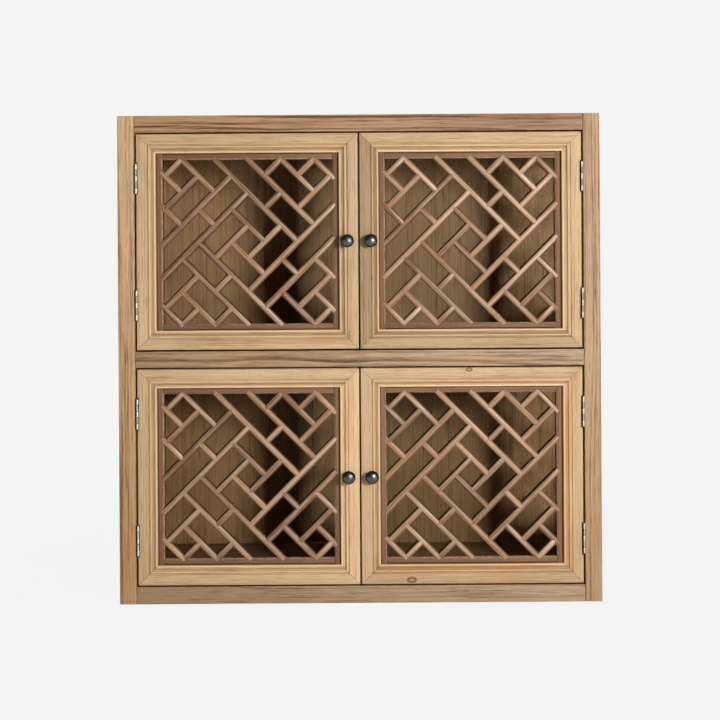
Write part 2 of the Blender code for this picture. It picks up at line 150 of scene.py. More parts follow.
# A knot, in its own radii: how it is drawn out, where its heart darkens, where its rim ends, and where
# the rings go round it, by so many rings
KNOT_STRETCH = 0.6
KNOT_HEART = (0.25, 0.8)
KNOT_RIM = (0.95, 1.3)
KNOT_SWERVE = (0.4, 3.5)
KNOT_RINGS = 2.6

# Painted shade on the hinges, as dark outlines beside the knuckles: where it ends left of the axis, starts
# right of it and ends behind it. The right-hand hinges are duller, and their painted shade lies further
# right.
KNUCKLE_SHADE_LEFT = (-1.4 * MM, -0.4 * MM)
KNUCKLE_SHADE_RIGHT = (1.3 * MM, 2.0 * MM)
KNUCKLE_SHADE_BEHIND = (2.0 * MM, 2.6 * MM)
KNUCKLE_SHADE_SHIFT = 1.0 * MM
RIGHT_DULL = 0.35
# Where the painted dark reflection round a knob's edge starts and ends, as shares of its radius
KNOB_DARK_REFLECTION = (0.7, 0.98)

# How a piece was sawn: grain names the axes along the fibres, across the face and through the board;
# pith is the heart of the log seen from the board's middle, ring the spacing of the rings, which wave and
# lean bend; stave is the width of glued strips (0 for one board); line, resin and grey are the strength of
# the fibre lines, of the reddish patches and of the weathering, and knot a place on the face and a radius.
Plank = namedtuple("Plank", "grain pith ring wave lean tone figure stave seed line resin grey knot",
                   defaults=(0.5, 0.35, 0.35, None))

CASE_PLANKS = {
    "left_side": Plank("ZYX", (0.06, 0.09), 0.0042, 0.006, 0.004, 1.12, 0.52, 0.0875, 1.3, 0.65),
    "right_side": Plank("ZYX", (0.02, -0.07), 0.0044, 0.010, 0.012, 0.825, 0.5, 0.0875, 2.9, 0.5, 0.65),
    "top_rail": Plank("XZY", (-0.05, 0.02), 0.0058, 0.009, 0.010, 0.76, 0.95, 0.0, 4.1, 0.8),
    "middle_rail": Plank("XZY", (0.034, 0.03), 0.0085, 0.014, 0.008, 0.80, 0.85, 0.0, 5.7, 0.5),
    "bottom_rail": Plank("XZY", (0.03, 0.025), 0.0026, 0.010, 0.006, 0.72, 0.3, 0.0, 6.2, 0.35),
    "top_panel": Plank("XYZ", (0.0, 0.05), 0.0044, 0.008, 0.004, 0.95, 0.9, 0.085, 7.7),
    # The shelf, bottom panel and partition are toned darker than the other boards, as painted shade inside
    # the case
    "shelf": Plank("XYZ", (0.01, 0.05), 0.0044, 0.008, 0.004, 0.45, 0.9, 0.08, 8.4),
    "bottom_panel": Plank("XYZ", (0.02, 0.06), 0.0044, 0.008, 0.004, 0.62, 0.9, 0.085, 9.8),
    "partition": Plank("ZYX", (0.02, 0.08), 0.0042, 0.006, 0.004, 0.40, 0.9, 0.08, 10.6),
    "back_panel": Plank("ZXY", (0.03, 0.022), 0.0027, 0.010, 0.006, 0.935, 0.22, 0.095, 11.1, 0.45),
}
# Tint of a case board at the low and the high end of its length, where it changes along it
FADES = {
    "left_side": ((0.83, 0.75, 0.665), (1.07, 1.11, 1.12)),
    "right_side": ((0.87, 0.86, 0.87), (0.86, 0.90, 0.95)),
    "top_rail": ((1.13, 1.055, 1.02), (0.70, 0.635, 0.68)),
    "middle_rail": ((0.91, 0.95, 0.97), (0.92, 1.03, 1.16)),
    "bottom_rail": ((0.98, 0.98, 0.98), (0.96, 1.05, 1.16)),
    "back_panel": ((0.88, 0.81, 0.66), (1.10, 1.07, 0.99)),
}
# Painted light and shade across a case board's front face: where each change starts and ends, and its
# brightness past that
PAINTED_LIGHT_ACROSS = {"back_panel": ((-0.24, -0.10, 0.70), (0.17, 0.28, 1.75))}
# Side boards with painted shade on their inner face, and which way that face looks
INNER_FACES = {"left_side": 1, "right_side": -1}
# Rails with a painted shadow on their top face in the gap under a door
GAP_RAILS = ("middle_rail", "bottom_rail")

# Tone of each door's members, in the order of MEMBERS
DOOR_TONES = {
    "upper_left": (0.81, 0.715, 0.725, 0.755),
    "upper_right": (0.71, 0.505, 0.72, 0.61),
    "lower_left": (0.76, 0.92, 0.80, 0.84),
    "lower_right": (0.725, 0.745, 0.76, 0.69),
}
# Resin of the door members that differ from the rest
DOOR_RESIN = {
    "lower_right_bottom_rail": 0.85,
    "lower_right_hinge_stile": 0.85,
    "upper_left_top_rail": 0.65,
    "upper_left_bottom_rail": 0.7,
    "upper_right_meeting_stile": 0.7,
    "upper_right_hinge_stile": 0.1,
    "upper_right_top_rail": 0.1,
    "lower_left_top_rail": 0.4,
}
# Knots in the door members: place along and across from the member's middle, and radius
DOOR_KNOTS = {
    "lower_right_top_rail": (-0.004, 0.0125, 0.0032),
    "lower_right_bottom_rail": (-0.101, -0.009, 0.0046),
    "upper_right_meeting_stile": (-0.062, 0.004, 0.0016),
}


def colour_setting(name, description, default):
    """A colour that a user may change."""
    return FloatVectorProperty(name=name, description=description, subtype="COLOR", size=3, min=0, max=1,
                               default=default)


def length_setting(name, description, default):
    """A length that a user may change."""
    return FloatProperty(name=name, description=description, unit="LENGTH", min=0, default=default)


def share_setting(name, description, default):
    """A share between nothing and all."""
    return FloatProperty(name=name, description=description, subtype="FACTOR", min=0, max=1, default=default)


def power_setting(name, description, default):
    """A lamp's power."""
    return FloatProperty(name=name, description=description, unit="POWER", min=0, default=default)


def place_setting(name, description, default):
    """A lamp's place."""
    return FloatVectorProperty(name=name, description=description, subtype="XYZ", unit="LENGTH", size=3,
                               default=default)


def face_setting(name, description, default):
    """A lamp's width and height."""
    return FloatVectorProperty(name=name, description=description, unit="LENGTH", size=2, default=default)


class CabinetTimber(bpy.types.PropertyGroup):
    """Colours and edges of the pine and of the stained fretwork."""

    case_pale: colour_setting(
        "Case early wood", "Pale part of the rings in the case boards", (0.60, 0.385, 0.215))
    case_dark: colour_setting(
        "Case late wood", "Dark part of the rings in the case boards", (0.19, 0.092, 0.041))
    door_pale: colour_setting(
        "Door early wood", "Pale part of the rings in the door frames", (0.696, 0.478, 0.269))
    door_dark: colour_setting(
        "Door late wood", "Dark part of the rings in the door frames", (0.328, 0.183, 0.085))
    fret_pale: colour_setting(
        "Fretwork early wood", "Pale part of the stained fretwork", (0.335, 0.182, 0.095))
    fret_dark: colour_setting(
        "Fretwork late wood", "Dark part of the stained fretwork", (0.115, 0.052, 0.026))
    # Pale colour of the bars' crests and the strips' inner edges: worn stain and painted highlight
    fret_highlight_and_wear: colour_setting(
        "Fretwork rubbed", "Stain rubbed grey on the bars' crests and the strips' inner edges",
        (0.46, 0.315, 0.21))
    fret_red: colour_setting(
        "Fretwork red", "Red-brown stain that lies deeper in the border strips", (0.30, 0.135, 0.075))
    # Red-brown of the stain in knots and mitres, and also of the painted shade in the quirks and under a door
    quirk_stain_and_shade: colour_setting("Quirk", "Red-brown stain left in the mouldings' quirks", (0.25, 0.105, 0.042))
    weathered: colour_setting("Weathered", "Grey that old pine takes in patches", (0.33, 0.255, 0.18))
    ruddy: colour_setting("Ruddy", "Resin-rich reddish patches", (0.60, 0.315, 0.12))
    # Painted shade inside the case
    inside_stain: share_setting("Inside stain", "How much darker the side boards' inner faces are", 0.7)
    case_edge: length_setting("Case edge", "Rounding of the case boards' edges", 0.9 * MM)
    moulding_edge: length_setting("Moulding edge", "Rounding along the moulded door members", 0.45 * MM)
    edge_wear: length_setting("Edge wear", "How far in from an edge the wood is rubbed pale", 2.4 * MM)


class CabinetFretwork(bpy.types.PropertyGroup):
    """Sizes of the fretwork panels."""

    strip_show: length_setting("Strip in sight", "Width of a border strip inside the moulding", 10 * MM)
    strip_lip: length_setting("Strip in rebate", "Width of a border strip in the door's rebate", 7.2 * MM)
    strip_thickness: length_setting("Strip thickness", "Thickness of the border strips", 10 * MM)
    strip_chamfer: length_setting("Strip chamfer", "Chamfer along a strip's inner front edge", 2.2 * MM)
    bar_width: length_setting("Falling bar width", "Width of a bar that falls to the right", 11 * MM)
    rising_width: length_setting("Rising bar width", "Width of a bar that rises to the right", 12.2 * MM)
    bar_depth: length_setting("Bar depth", "Depth of a bar from its crest to its back", 10.2 * MM)
    bar_rise: length_setting("Bar rise", "Height of the rounded crest over a bar's shoulders", 3.2 * MM)
    bar_step: length_setting("Bar step", "How far the rising bars' backs lie before the others", 0.3 * MM)
    bar_lap: length_setting("Bar lap", "How far a bar runs over a border strip", 3 * MM)
    bar_stop: length_setting("Bar stop", "Where a bar stops before the middle of the bar it meets", 0.5 * MM)
    bar_ring: length_setting("Bar rings", "Ring spacing in the bars and strips", 2.4 * MM)
    pattern_lap: length_setting("Pattern lap", "How far the pattern's edge lies over the strips", 1.1 * MM)
    crest_segments: IntProperty(
        name="Crest segments", description="Facets on each side of a bar's crest", min=1, default=6)


class CabinetMetal(bpy.types.PropertyGroup):
    """Sizes and colours of the hinges, knobs, catches and nails."""

    brass: colour_setting("Brass", "Worn bright metal of the hinges", (0.82, 0.76, 0.63))
    patina: colour_setting("Patina", "Dark coating left on the hinges", (0.46, 0.40, 0.31))
    gunmetal: colour_setting("Gunmetal", "Dark coating of the knobs", (0.060, 0.061, 0.063))
    steel: colour_setting("Steel", "Nails, screws, magnet poles and strike plates", (0.50, 0.50, 0.49))
    catch_brown: colour_setting("Catch brown", "Moulded case of the catches", (0.16, 0.09, 0.05))
    leaf_thickness: length_setting("Leaf thickness", "Thickness of a hinge leaf", 1 * MM)
    leaf_width: length_setting("Leaf width", "Width of a hinge leaf's plate", 17 * MM)
    leaf_setback: length_setting("Leaf setback", "From the hinge axis to the plate", 2.8 * MM)
    leaf_corner: length_setting("Leaf corner", "Rounding of a leaf's rear corners", 1.6 * MM)
    knuckle_radius: length_setting("Knuckle radius", "Outer radius of a hinge knuckle", 2.4 * MM)
    bore_radius: length_setting("Knuckle bore", "Radius of the hole through a knuckle", 1.4 * MM)
    knuckle_gap: length_setting("Knuckle gap", "Gap between neighbouring knuckles", 0.9 * MM)
    knuckles: IntProperty(name="Knuckles", description="Knuckles of one hinge", min=3, default=5)
    pin_radius: length_setting("Pin radius", "Radius of a hinge pin", 1.0 * MM)
    pin_head: length_setting("Pin head", "Radius of a hinge pin's head", 2.1 * MM)
    pin_proud: length_setting("Pin proud", "How far a pin's shank stands out of its hinge", 0.3 * MM)
    pin_dome: length_setting("Pin dome", "Height of a hinge pin's domed head", 0.7 * MM)
    screw_radius: length_setting("Screw head", "Radius of a countersunk screw head", 2.3 * MM)
    screw_proud: length_setting("Screw proud", "How far a screw head stands proud", 0.12 * MM)
    nail_radius: length_setting("Nail head", "Radius of a back panel nail's head", 2.2 * MM)
    brad_radius: length_setting("Brad head", "Radius of the head of a brad in the fretwork", 1.1 * MM)
    nail_inset: length_setting("Nail inset", "From a panel's edge to its nails or brads", 5 * MM)
    nail_step: length_setting("Nail step", "Spacing of the back panel's nails", 125 * MM)
    brad_step: length_setting("Brad step", "Spacing of the brads round the fretwork", 100 * MM)
    strike_thickness: length_setting("Strike thickness", "Thickness of a strike plate", 0.9 * MM)
    turned_steps: IntProperty(name="Turned steps", description="Facets round a knob", min=8, default=48)


class CabinetStage(bpy.types.PropertyGroup):
    """Camera, lamps and floor."""

    eye_distance: length_setting("Eye distance", "From the camera to the cabinet's front", 2.2)
    eye_height: length_setting("Eye height", "Camera height over the floor", 0.56)
    eye_side: FloatProperty(
        name="Eye side", description="Camera offset to the right", unit="LENGTH", default=0.0015)
    width_share: share_setting(
        "Width in picture", "Share of the picture's width that the front fills", 0.6703)
    middle_height: length_setting(
        "Picture middle", "Height over the floor that lies in the picture's middle", 0.4029)
    roll: FloatProperty(
        name="Roll", description="Lean of the camera", subtype="ANGLE", unit="ROTATION",
        default=math.radians(0.38))
    floor_size: length_setting("Floor size", "Width of the pale floor", 60)
    pale: share_setting("Backdrop", "Brightness of the pale backdrop", 0.905)
    ambient: share_setting("Ambient", "Light that comes from all round", 0.012)
    room: share_setting("Room in front", "Brightness of the room seen in metal, against the backdrop", 0.06)
    key_power: power_setting("Key lamp", "Power of the right lamp", 54)
    key_place: place_setting("Key place", "Place of the right lamp", (0.98, -2.12, 0.80))
    key_size: face_setting("Key size", "Width and height of the right lamp", (0.4, 0.50))
    back_power: power_setting("Back lamp", "Power of the far left lamp, which lights the back only", 1350)
    back_place: place_setting("Back lamp place", "Place of the far left lamp", (-6.06, -8.0, 0.3))
    back_size: face_setting("Back lamp size", "Width and height of the far left lamp", (1.4, 1.2))
    fill_power: power_setting("Fill lamp", "Power of the left lamp, which lights the door frames only", 20)
    fill_place: place_setting("Fill place", "Place of the left lamp", (-2.0, -2.4, 0.7))
    fill_size: face_setting("Fill size", "Width and height of the left lamp", (1.4, 1.4))
    bounce_power: power_setting(
        "Bounce", "Power of the low lamp, which lights the fretwork only as a pale floor would", 2.5)
    bounce_place: place_setting("Bounce place", "Place of the low lamp", (0.0, -1.25, 0.06))
    bounce_size: face_setting("Bounce size", "Width and height of the low lamp", (1.0, 0.1))
    rear_power: power_setting(
        "Rear lamps", "Power of each of the two lamps behind, which light the cabinet only", 60)
    rear_place: place_setting(
        "Rear place", "Place of the right-hand rear lamp; the other is its mirror image", (1.9, 1.7, 1.9))
    rear_size: face_setting("Rear size", "Width and height of the rear lamps", (1.2, 1.2))


class Shade:
    """A shader value that takes part in Python arithmetic."""

    def __init__(self, finish, socket):
        self.finish = finish
        self.socket = socket

    def math(self, operation, *others):
        """A Math node on this value and the others."""
        values = dict(enumerate((self, *others)))
        return self.finish.node("ShaderNodeMath", {"operation": operation}, values)

    def __add__(self, other):
        return self.math("ADD", other)

    __radd__ = __add__

    def __sub__(self, other):
        return self.math("SUBTRACT", other)

    def __rsub__(self, other):
        return self.finish.node("ShaderNodeMath", {"operation": "SUBTRACT"}, {0: other, 1: self})

    def __mul__(self, other):
        return self.math("MULTIPLY", other)

    __rmul__ = __mul__

    def __truediv__(self, other):
        return self.math("DIVIDE", other)

    def __abs__(self):
        return self.math("ABSOLUTE")

    def __pow__(self, other):
        return self.math("POWER", other)

    def least(self, other):
        """The smaller of two values."""
        return self.math("MINIMUM", other)

    def most(self, other):
        """The larger of two values."""
        return self.math("MAXIMUM", other)

    def clamped(self):
        """The value kept between 0 and 1."""
        return self.most(0.0).least(1.0)

    def floor(self):
        """The whole number below."""
        return self.math("FLOOR")

    def sign(self):
        """1 for a value over 0 and -1 for one under it."""
        return self.math("SIGN")

    def root(self):
        """The square root."""
        return self.math("SQRT")

    def rise(self, start, end):
        """A soft step from 0 at start to 1 at end."""
        return self.finish.node("ShaderNodeMapRange", {"interpolation_type": "SMOOTHSTEP"},
                                {"Value": self, "From Min": start, "From Max": end})

    def fall(self, start, end):
        """A soft step from 1 at start to 0 at end."""
        return 1 - self.rise(start, end)


class Tree:
    """A node tree and the way to add to it."""

    def __init__(self, tree):
        self.tree = tree

    def node(self, kind, settings=None, sockets=None, output=0):
        """Add a node: its settings first, then the values or links of its sockets."""
        node = self.tree.nodes.new(kind)
        for key, value in (settings or {}).items():
            setattr(node, key, value)
        for key, value in (sockets or {}).items():
            self.feed(node.inputs[key], value)
        return Shade(self, node.outputs[output])

    def feed(self, socket, value):
        """Link a shader value to a socket, or set a plain one on it."""
        if isinstance(value, Shade):
            self.tree.links.new(value.socket, socket)
        else:
            socket.default_value = value

    def rays(self, *kinds):
        """Whether a ray is of each kind, as values."""
        outputs = self.node("ShaderNodeLightPath").socket.node.outputs
        return [Shade(self, outputs[f"Is {kind} Ray"]) for kind in kinds]


class Finish(Tree):
    """A node material and the ways to add to it; spots are the three object coordinates."""

    def __init__(self, name):
        self.material = bpy.data.materials.new(name)
        self.material.use_nodes = True
        super().__init__(self.material.node_tree)
        self.shader = self.tree.nodes["Principled BSDF"]
        place = self.node("ShaderNodeTexCoord", output="Object")
        parts = self.node("ShaderNodeSeparateXYZ", None, {0: place}).socket.node
        self.spots = [Shade(self, socket) for socket in parts.outputs]

    def about(self, middle):
        """The object coordinates seen from a place."""
        return [spot - middle[axis] for axis, spot in enumerate(self.spots)]

    def noise(self, x, y, z, detail=2.0, rough=0.5):
        """Cloudy noise about 0.5 at a place that is already scaled."""
        place = self.node("ShaderNodeCombineXYZ", None, {0: x, 1: y, 2: z})
        return self.node("ShaderNodeTexNoise", None,
                         {"Vector": place, "Scale": 1.0, "Detail": detail, "Roughness": rough})

    def speckle(self, scale, detail=2.0, rough=0.5):
        """Cloudy noise that is the same every way."""
        return self.noise(*(spot * scale for spot in self.spots), detail, rough)

    def chance(self, value):
        """A random value between 0 and 1 for each whole number."""
        return self.node("ShaderNodeTexWhiteNoise", {"noise_dimensions": "1D"}, {"W": value})

    def mark(self, name):
        """A face attribute of the piece."""
        return self.node("ShaderNodeAttribute", {"attribute_name": name}, output="Fac")

    def blend(self, amount, first, second, mode="MIX"):
        """Mix two colours."""
        sockets = {0: amount, 6: opaque(first), 7: opaque(second)}
        return self.node("ShaderNodeMix", {"data_type": "RGBA", "blend_type": mode}, sockets, 2)

    def tinted(self, colour, amount, start, end):
        """A colour times a tint that goes from start to end with the amount."""
        return self.blend(1.0, colour, self.blend(amount, start, end), "MULTIPLY")

    def relief(self, height, depth, strength):
        """Bump of a height field, its depth in metres."""
        bump = self.node("ShaderNodeBump", None, {"Height": height, "Distance": depth, "Strength": strength})
        self.feed(self.shader.inputs["Normal"], bump)

    def set(self, **values):
        """Set or link the shader's own sockets, named with underscores."""
        for key, value in values.items():
            self.feed(self.shader.inputs[key.replace("_", " ")], value)


def opaque(colour):
    """A plain colour with its alpha, or a shader value as it is."""
    return colour if isinstance(colour, Shade) else (*colour, 1)


def toned(colour, tone):
    """A colour made darker or lighter."""
    return tuple(min(1.0, part * tone) for part in colour)


def grey(value):
    """A colour without hue."""
    return (value, value, value)


def sawn(coords, plank):
    """Coordinates along the fibres, across the face and through the board."""
    return [coords[AXES.index(letter)] for letter in plank.grain]


def grain(finish, along, across, deep, plank, pale, dark):
    """Colour, share of dark wood and relief of sawn pine from its place in the log."""
    timber = bpy.context.scene.cabinet_timber
    seed = plank.seed
    side = across
    if plank.stave:
        index = (across / plank.stave).floor()
        own = finish.chance(index + seed)
        side = across - (index + 0.5) * plank.stave + (own - 0.5) * plank.stave
        seed = own * 40 + plank.seed

    def streak(cloud, moved=0):
        """A cloud drawn out along the fibres, moved by the seed on one of its axes."""
        place = [along * cloud.along, side * cloud.across, deep * cloud.across]
        place[moved] = place[moved] + seed
        return finish.noise(*place, cloud.detail, cloud.rough)

    u = side - plank.pith[0] + (streak(SWAY) - 0.5) * (plank.wave * 2) + along * plank.lean
    v = deep - plank.pith[1] + (streak(DRIFT, 1) - 0.5) * (plank.wave * 2)
    reach = (u * u + v * v).root()
    if plank.knot:
        knot_along, knot_across, radius = plank.knot
        far = (((along - knot_along) * KNOT_STRETCH) ** 2 + (across - knot_across) ** 2).root() / radius
        reach = reach + far.fall(*KNOT_SWERVE) * (plank.ring * KNOT_RINGS)
        heart = (far.rise(*KNOT_HEART) * 0.65 + 0.35) * far.fall(*KNOT_RIM)
    phase = reach / plank.ring
    count = phase.floor()
    part = phase - count
    late = part.rise(*LATE_RISE) * part.fall(*LATE_FALL)
    weight = finish.chance(count + plank.seed * 3) ** RING_CONTRAST * (1 - RING_LEAST) + RING_LEAST
    fibre = streak(FIBRE)
    shadow = streak(SHADOW)
    fleck = streak(FLECK).rise(FLECK.start, FLECK.end)
    line = streak(LINE).rise(LINE.start, LINE.end)
    amount = late * weight * plank.figure + line * plank.line + (fibre - 0.5) * FIBRE_SHARE
    amount = (amount + (shadow - 0.5) + fleck * FLECK_SHARE).clamped()
    if plank.stave:
        amount = (amount * 0.92 + (own - 0.5) * STAVE_SHARE).clamped()
    colour = finish.blend(amount, toned(pale, plank.tone), toned(dark, plank.tone))
    weathered = streak(GREY, 1).rise(GREY.start, GREY.end) * plank.grey
    colour = finish.blend(weathered, colour, toned(timber.weathered, plank.tone))
    ruddy = finish.noise(along * RESIN.along + RESIN_SHIFT, side * RESIN.across, deep * RESIN.across + seed,
                         RESIN.detail)
    sooner = plank.resin * 0.2
    ruddy = ruddy.rise(RESIN.start - sooner, RESIN.end - sooner) * plank.resin
    colour = finish.blend(ruddy, colour, toned(timber.ruddy, plank.tone))
    if plank.knot:
        colour = finish.blend(heart * 0.85, colour, toned(timber.quirk_stain_and_shade, 0.5))
    height = late * weight * 0.7 + fibre * 0.5 - fleck * 0.4
    return colour, amount, height


def edge_distance(coords, half):
    """Distance from a place on a board's surface to its nearest edge."""
    a, b, c = (limit - abs(value) for value, limit in zip(coords, half))
    return a.least(b).most(a.most(b).least(c))


def case_shade(finish, colour, node, coords, half, dark):
    """Changes of a case board's colour: a tint along it, painted light and shade across it, painted shade on
    its inner face and a painted shadow under a door.
    """
    timber = bpy.context.scene.cabinet_timber
    plank = CASE_PLANKS[node]
    along, across, _ = sawn(coords, plank)
    if node in FADES:
        reach = half[AXES.index(plank.grain[0])]
        colour = finish.tinted(colour, along.rise(-reach, reach), *FADES[node])
    # Painted light and shade across the back panel's inner face
    for start, end, bright in PAINTED_LIGHT_ACROSS.get(node, ()):
        front = coords[1].fall(-half[1] / 2, half[1] / 2)
        colour = finish.tinted(colour, across.rise(start, end) * front, WHITE, grey(bright))
    # Painted shade on a side board's inner face
    if node in INNER_FACES:
        flat = half[0] - timber.case_edge
        inner = (coords[0] * INNER_FACES[node]).rise(flat - timber.case_edge, flat)
        colour = finish.blend(inner * timber.inside_stain, colour, toned(dark, plank.tone))
    # Painted shadow on the rail's top face in the gap under a door
    if node in GAP_RAILS:
        lip = coords[2].rise(half[2] - GAP_SHADOW[1], half[2] - GAP_SHADOW[0])
        colour = finish.blend(lip * 0.9, colour, toned(timber.quirk_stain_and_shade, 0.3))
    return colour


def moulded_shade(finish, colour, inward, ends, pale, rubbed, looks_left):
    """Stain and painted shade in a moulding's quirks, stain in its mitres, wear and painted highlight on its
    beads.
    """
    timber = bpy.context.scene.cabinet_timber
    # Stiles whose moulding looks left keep only a small share of the painted quirk shade and bead highlight
    stain = LEFT_FACING_SHADE_SHARE if looks_left else 1.0
    # Quirks get painted shade with old stain, beads a painted highlight with wear
    for lines, tint, share in ((QUIRK_STAIN_AND_SHADE, timber.quirk_stain_and_shade, stain), (BEAD_WEAR_AND_HIGHLIGHT, toned(pale, 1.2), stain * 0.4 + 0.6)):
        for place, reach, depth in lines:
            line = abs(inward - place).fall(0.0, reach) * (depth * share)
            colour = finish.blend(line * (rubbed * 0.6 + 0.6), colour, tint)
    # Painted light in the quirks of the stiles whose moulding looks left
    if looks_left:
        for place, reach, lift in LEFT_FACING_QUIRK_LIGHT:
            colour = finish.tinted(colour, abs(inward - place).fall(0.0, reach), WHITE, grey(1 + lift))
    mitre = abs(inward - ends).fall(*MITRE_LINE)
    return finish.blend(mitre * (rubbed * 0.4 + 0.14), colour, toned(timber.quirk_stain_and_shade, 0.4))


def board_finish(name, plank, low, high, pale, dark, case=None, outer=None):
    """Oiled pine of one board, rubbed pale along its edges.

    case is the name of a case board, and outer the place of a moulded door member's outer edge.
    """
    finish = Finish(name)
    timber = bpy.context.scene.cabinet_timber
    middle = (low + high) / 2
    half = (high - low) / 2
    coords = finish.about(middle)
    along, across, deep = sawn(coords, plank)
    colour, amount, height = grain(finish, along, across, deep, plank, pale, dark)
    if case:
        colour = case_shade(finish, colour, case, coords, half, dark)
    rubbed = finish.speckle(90)
    worn = edge_distance(coords, half).fall(0.0, timber.edge_wear) * rubbed.rise(0.38, 0.66)
    colour = finish.blend(worn * 0.4, colour, toned(pale, plank.tone * 1.1))
    if outer is not None:
        length, width = (AXES.index(letter) for letter in plank.grain[:2])
        inward = abs(finish.spots[width] - outer)
        ends = half[length] - abs(along)
        looks_left = width == 0 and outer > middle.x
        colour = moulded_shade(finish, colour, inward, ends, pale, rubbed, looks_left)
    finish.set(Base_Color=colour, Roughness=0.52 + amount * 0.18 - worn * 0.1, Specular_IOR_Level=0.12)
    finish.relief(height, depth=0.35 * MM, strength=0.55)
    return finish.material


def strip_finish(name, plank, middle, axis, inner):
    """Stained wood of the border strips, rubbed grey with a painted highlight along the inner edge, and a
    painted shadow by the moulding.
    """
    finish = Finish(name)
    timber = bpy.context.scene.cabinet_timber
    coords = finish.about(middle)
    colour, amount, height = grain(finish, *sawn(coords, plank), plank, timber.fret_pale, timber.fret_dark)
    inward = abs(coords[axis]) - inner
    rubbed = finish.speckle(110).rise(0.3, 0.7)
    colour = finish.blend(0.45, colour, toned(timber.fret_red, plank.tone))
    # Painted highlight, with rubbed stain, along the strip's inner edge
    edge = inward.fall(*STRIP_RUB_AND_HIGHLIGHT) * (rubbed * 0.5 + 0.2)
    colour = finish.blend(edge, colour, timber.fret_highlight_and_wear)
    # Painted shadow of the moulding along the strip's outer edge
    colour = finish.blend(inward.rise(*STRIP_SHADOW) * 0.9, colour, toned(timber.fret_dark, 0.16))
    finish.set(Base_Color=colour, Roughness=0.5 + amount * 0.15, Specular_IOR_Level=0.12)
    finish.relief(height, depth=0.25 * MM, strength=0.45)
    return finish.material


def bar_finish(name, plank, centre, slope, crest_y):
    """Stained wood of the fretwork bars that run one way, crests worn pale with a painted highlight, painted
    shade on flanks and up-left faces.
    """
    finish = Finish(name)
    timber = bpy.context.scene.cabinet_timber
    x, y, z = finish.spots
    s = x - centre.x
    t = (z - centre.z) * slope
    along = (s + t) * ROOT_HALF
    across = (s - t) * ROOT_HALF
    colour, amount, height = grain(finish, along, across, y - centre.y, plank,
                                   timber.fret_pale, timber.fret_dark)
    bar = finish.mark("bar")
    own = finish.chance(bar + plank.seed * 11)
    other = finish.chance(bar * 3 + plank.seed * 7)
    colour = finish.tinted(colour, own, *BAR_TINTS)
    depth = y - crest_y
    # Painted shade on the bar's flanks
    colour = finish.blend(depth.rise(*BAR_FLANK_SHADE) * 0.8, colour, toned(timber.fret_dark, 0.4))
    # Pale crest: rubbed stain and painted highlight
    rubbed = finish.noise(along * CREST_WEAR_AND_SHEEN.along, across * CREST_WEAR_AND_SHEEN.across, y * CREST_WEAR_AND_SHEEN.across,
                          CREST_WEAR_AND_SHEEN.detail, CREST_WEAR_AND_SHEEN.rough).rise(CREST_WEAR_AND_SHEEN.start, CREST_WEAR_AND_SHEEN.end)
    worn = depth.fall(*BAR_CREST_WEAR_AND_HIGHLIGHT) * (rubbed * 0.58 + other.rise(0.45, 1.0) * 0.42)
    colour = finish.blend(worn, colour, timber.fret_highlight_and_wear)
    # Painted shade on the faces that look up and left
    colour = finish.blend(finish.mark("lee") * 0.95, colour, toned(timber.fret_dark, 0.12))
    finish.set(Base_Color=colour, Roughness=0.41 + amount * 0.14 - other * 0.1, Specular_IOR_Level=0.3)
    finish.relief(height, depth=0.25 * MM, strength=0.45)
    return finish.material


def metal_finish(name, bright, coat, wear, rough, metallic=1.0, axis=None, rim=None):
    """Metal whose dark coating is rubbed through in places.

    axis is a point on the right-hand hinge axis, for knuckles with painted shade on their sides, and rim
    the middle and radius of a knob with a painted dark reflection round its edge.
    """
    finish = Finish(name)
    x, y, z = finish.spots
    cloud = finish.speckle(420, 4.0, 0.65)
    fine = finish.speckle(1900)
    rubbed = (cloud * 0.75 + fine * 0.25).rise(0.5 - wear, 0.72 - wear)
    colour = finish.blend(rubbed, coat, bright)
    if axis is not None:
        right = x.rise(-10 * MM, 10 * MM)
        colour = finish.blend(right * RIGHT_DULL, colour, toned(coat, 0.75))
        # Painted shade as dark outlines beside the hinge knuckles
        aside = x - x.sign() * axis.x - right * KNUCKLE_SHADE_SHIFT
        front = (y - axis.y).fall(*KNUCKLE_SHADE_BEHIND)
        knuckle_shade = aside.fall(*KNUCKLE_SHADE_LEFT).most(aside.rise(*KNUCKLE_SHADE_RIGHT) * 0.85)
        colour = finish.blend(knuckle_shade * front, colour, toned(coat, 0.03))
    if rim is not None:
        # Painted dark reflection round the knob's edge
        middle, radius = rim
        far = ((x - middle[0]) ** 2 + (z - middle[2]) ** 2).root() / radius
        colour = finish.blend(far.rise(*KNOB_DARK_REFLECTION), colour, toned(coat, 0.1))
    finish.set(Base_Color=colour, Metallic=metallic, Roughness=rough + 0.18 - rubbed * 0.16 + fine * 0.06,
               Specular_IOR_Level=0.2)
    finish.relief(cloud * 0.6 + fine * 0.4, depth=0.12 * MM, strength=0.3)
    return finish.material


def moulded_finish(name, colour):
    """Matt moulded plastic with a fine pebble."""
    finish = Finish(name)
    pebble = finish.speckle(2600)
    dust = finish.speckle(90, 3.0).rise(0.5, 0.75)
    shade = finish.blend(dust * 0.3 + pebble * 0.15, colour, toned(colour, 1.7))
    finish.set(Base_Color=shade, Roughness=0.42 + dust * 0.2)
    finish.relief(pebble, depth=0.05 * MM, strength=0.4)
    return finish.material


def deselect():
    """Leave no object selected."""
    bpy.ops.object.select_all(action="DESELECT")


def use(piece):
    """Make one piece the only selected and active object."""
    deselect()
    piece.select_set(True)
    bpy.context.view_layer.objects.active = piece


def edit(piece, kind="EDGE", action="DESELECT"):
    """Go into edit mode on a piece, with nothing selected, or all of it."""
    use(piece)
    bpy.ops.object.mode_set(mode="EDIT")
    bpy.ops.mesh.select_mode(type=kind)
    bpy.ops.mesh.select_all(action=action)


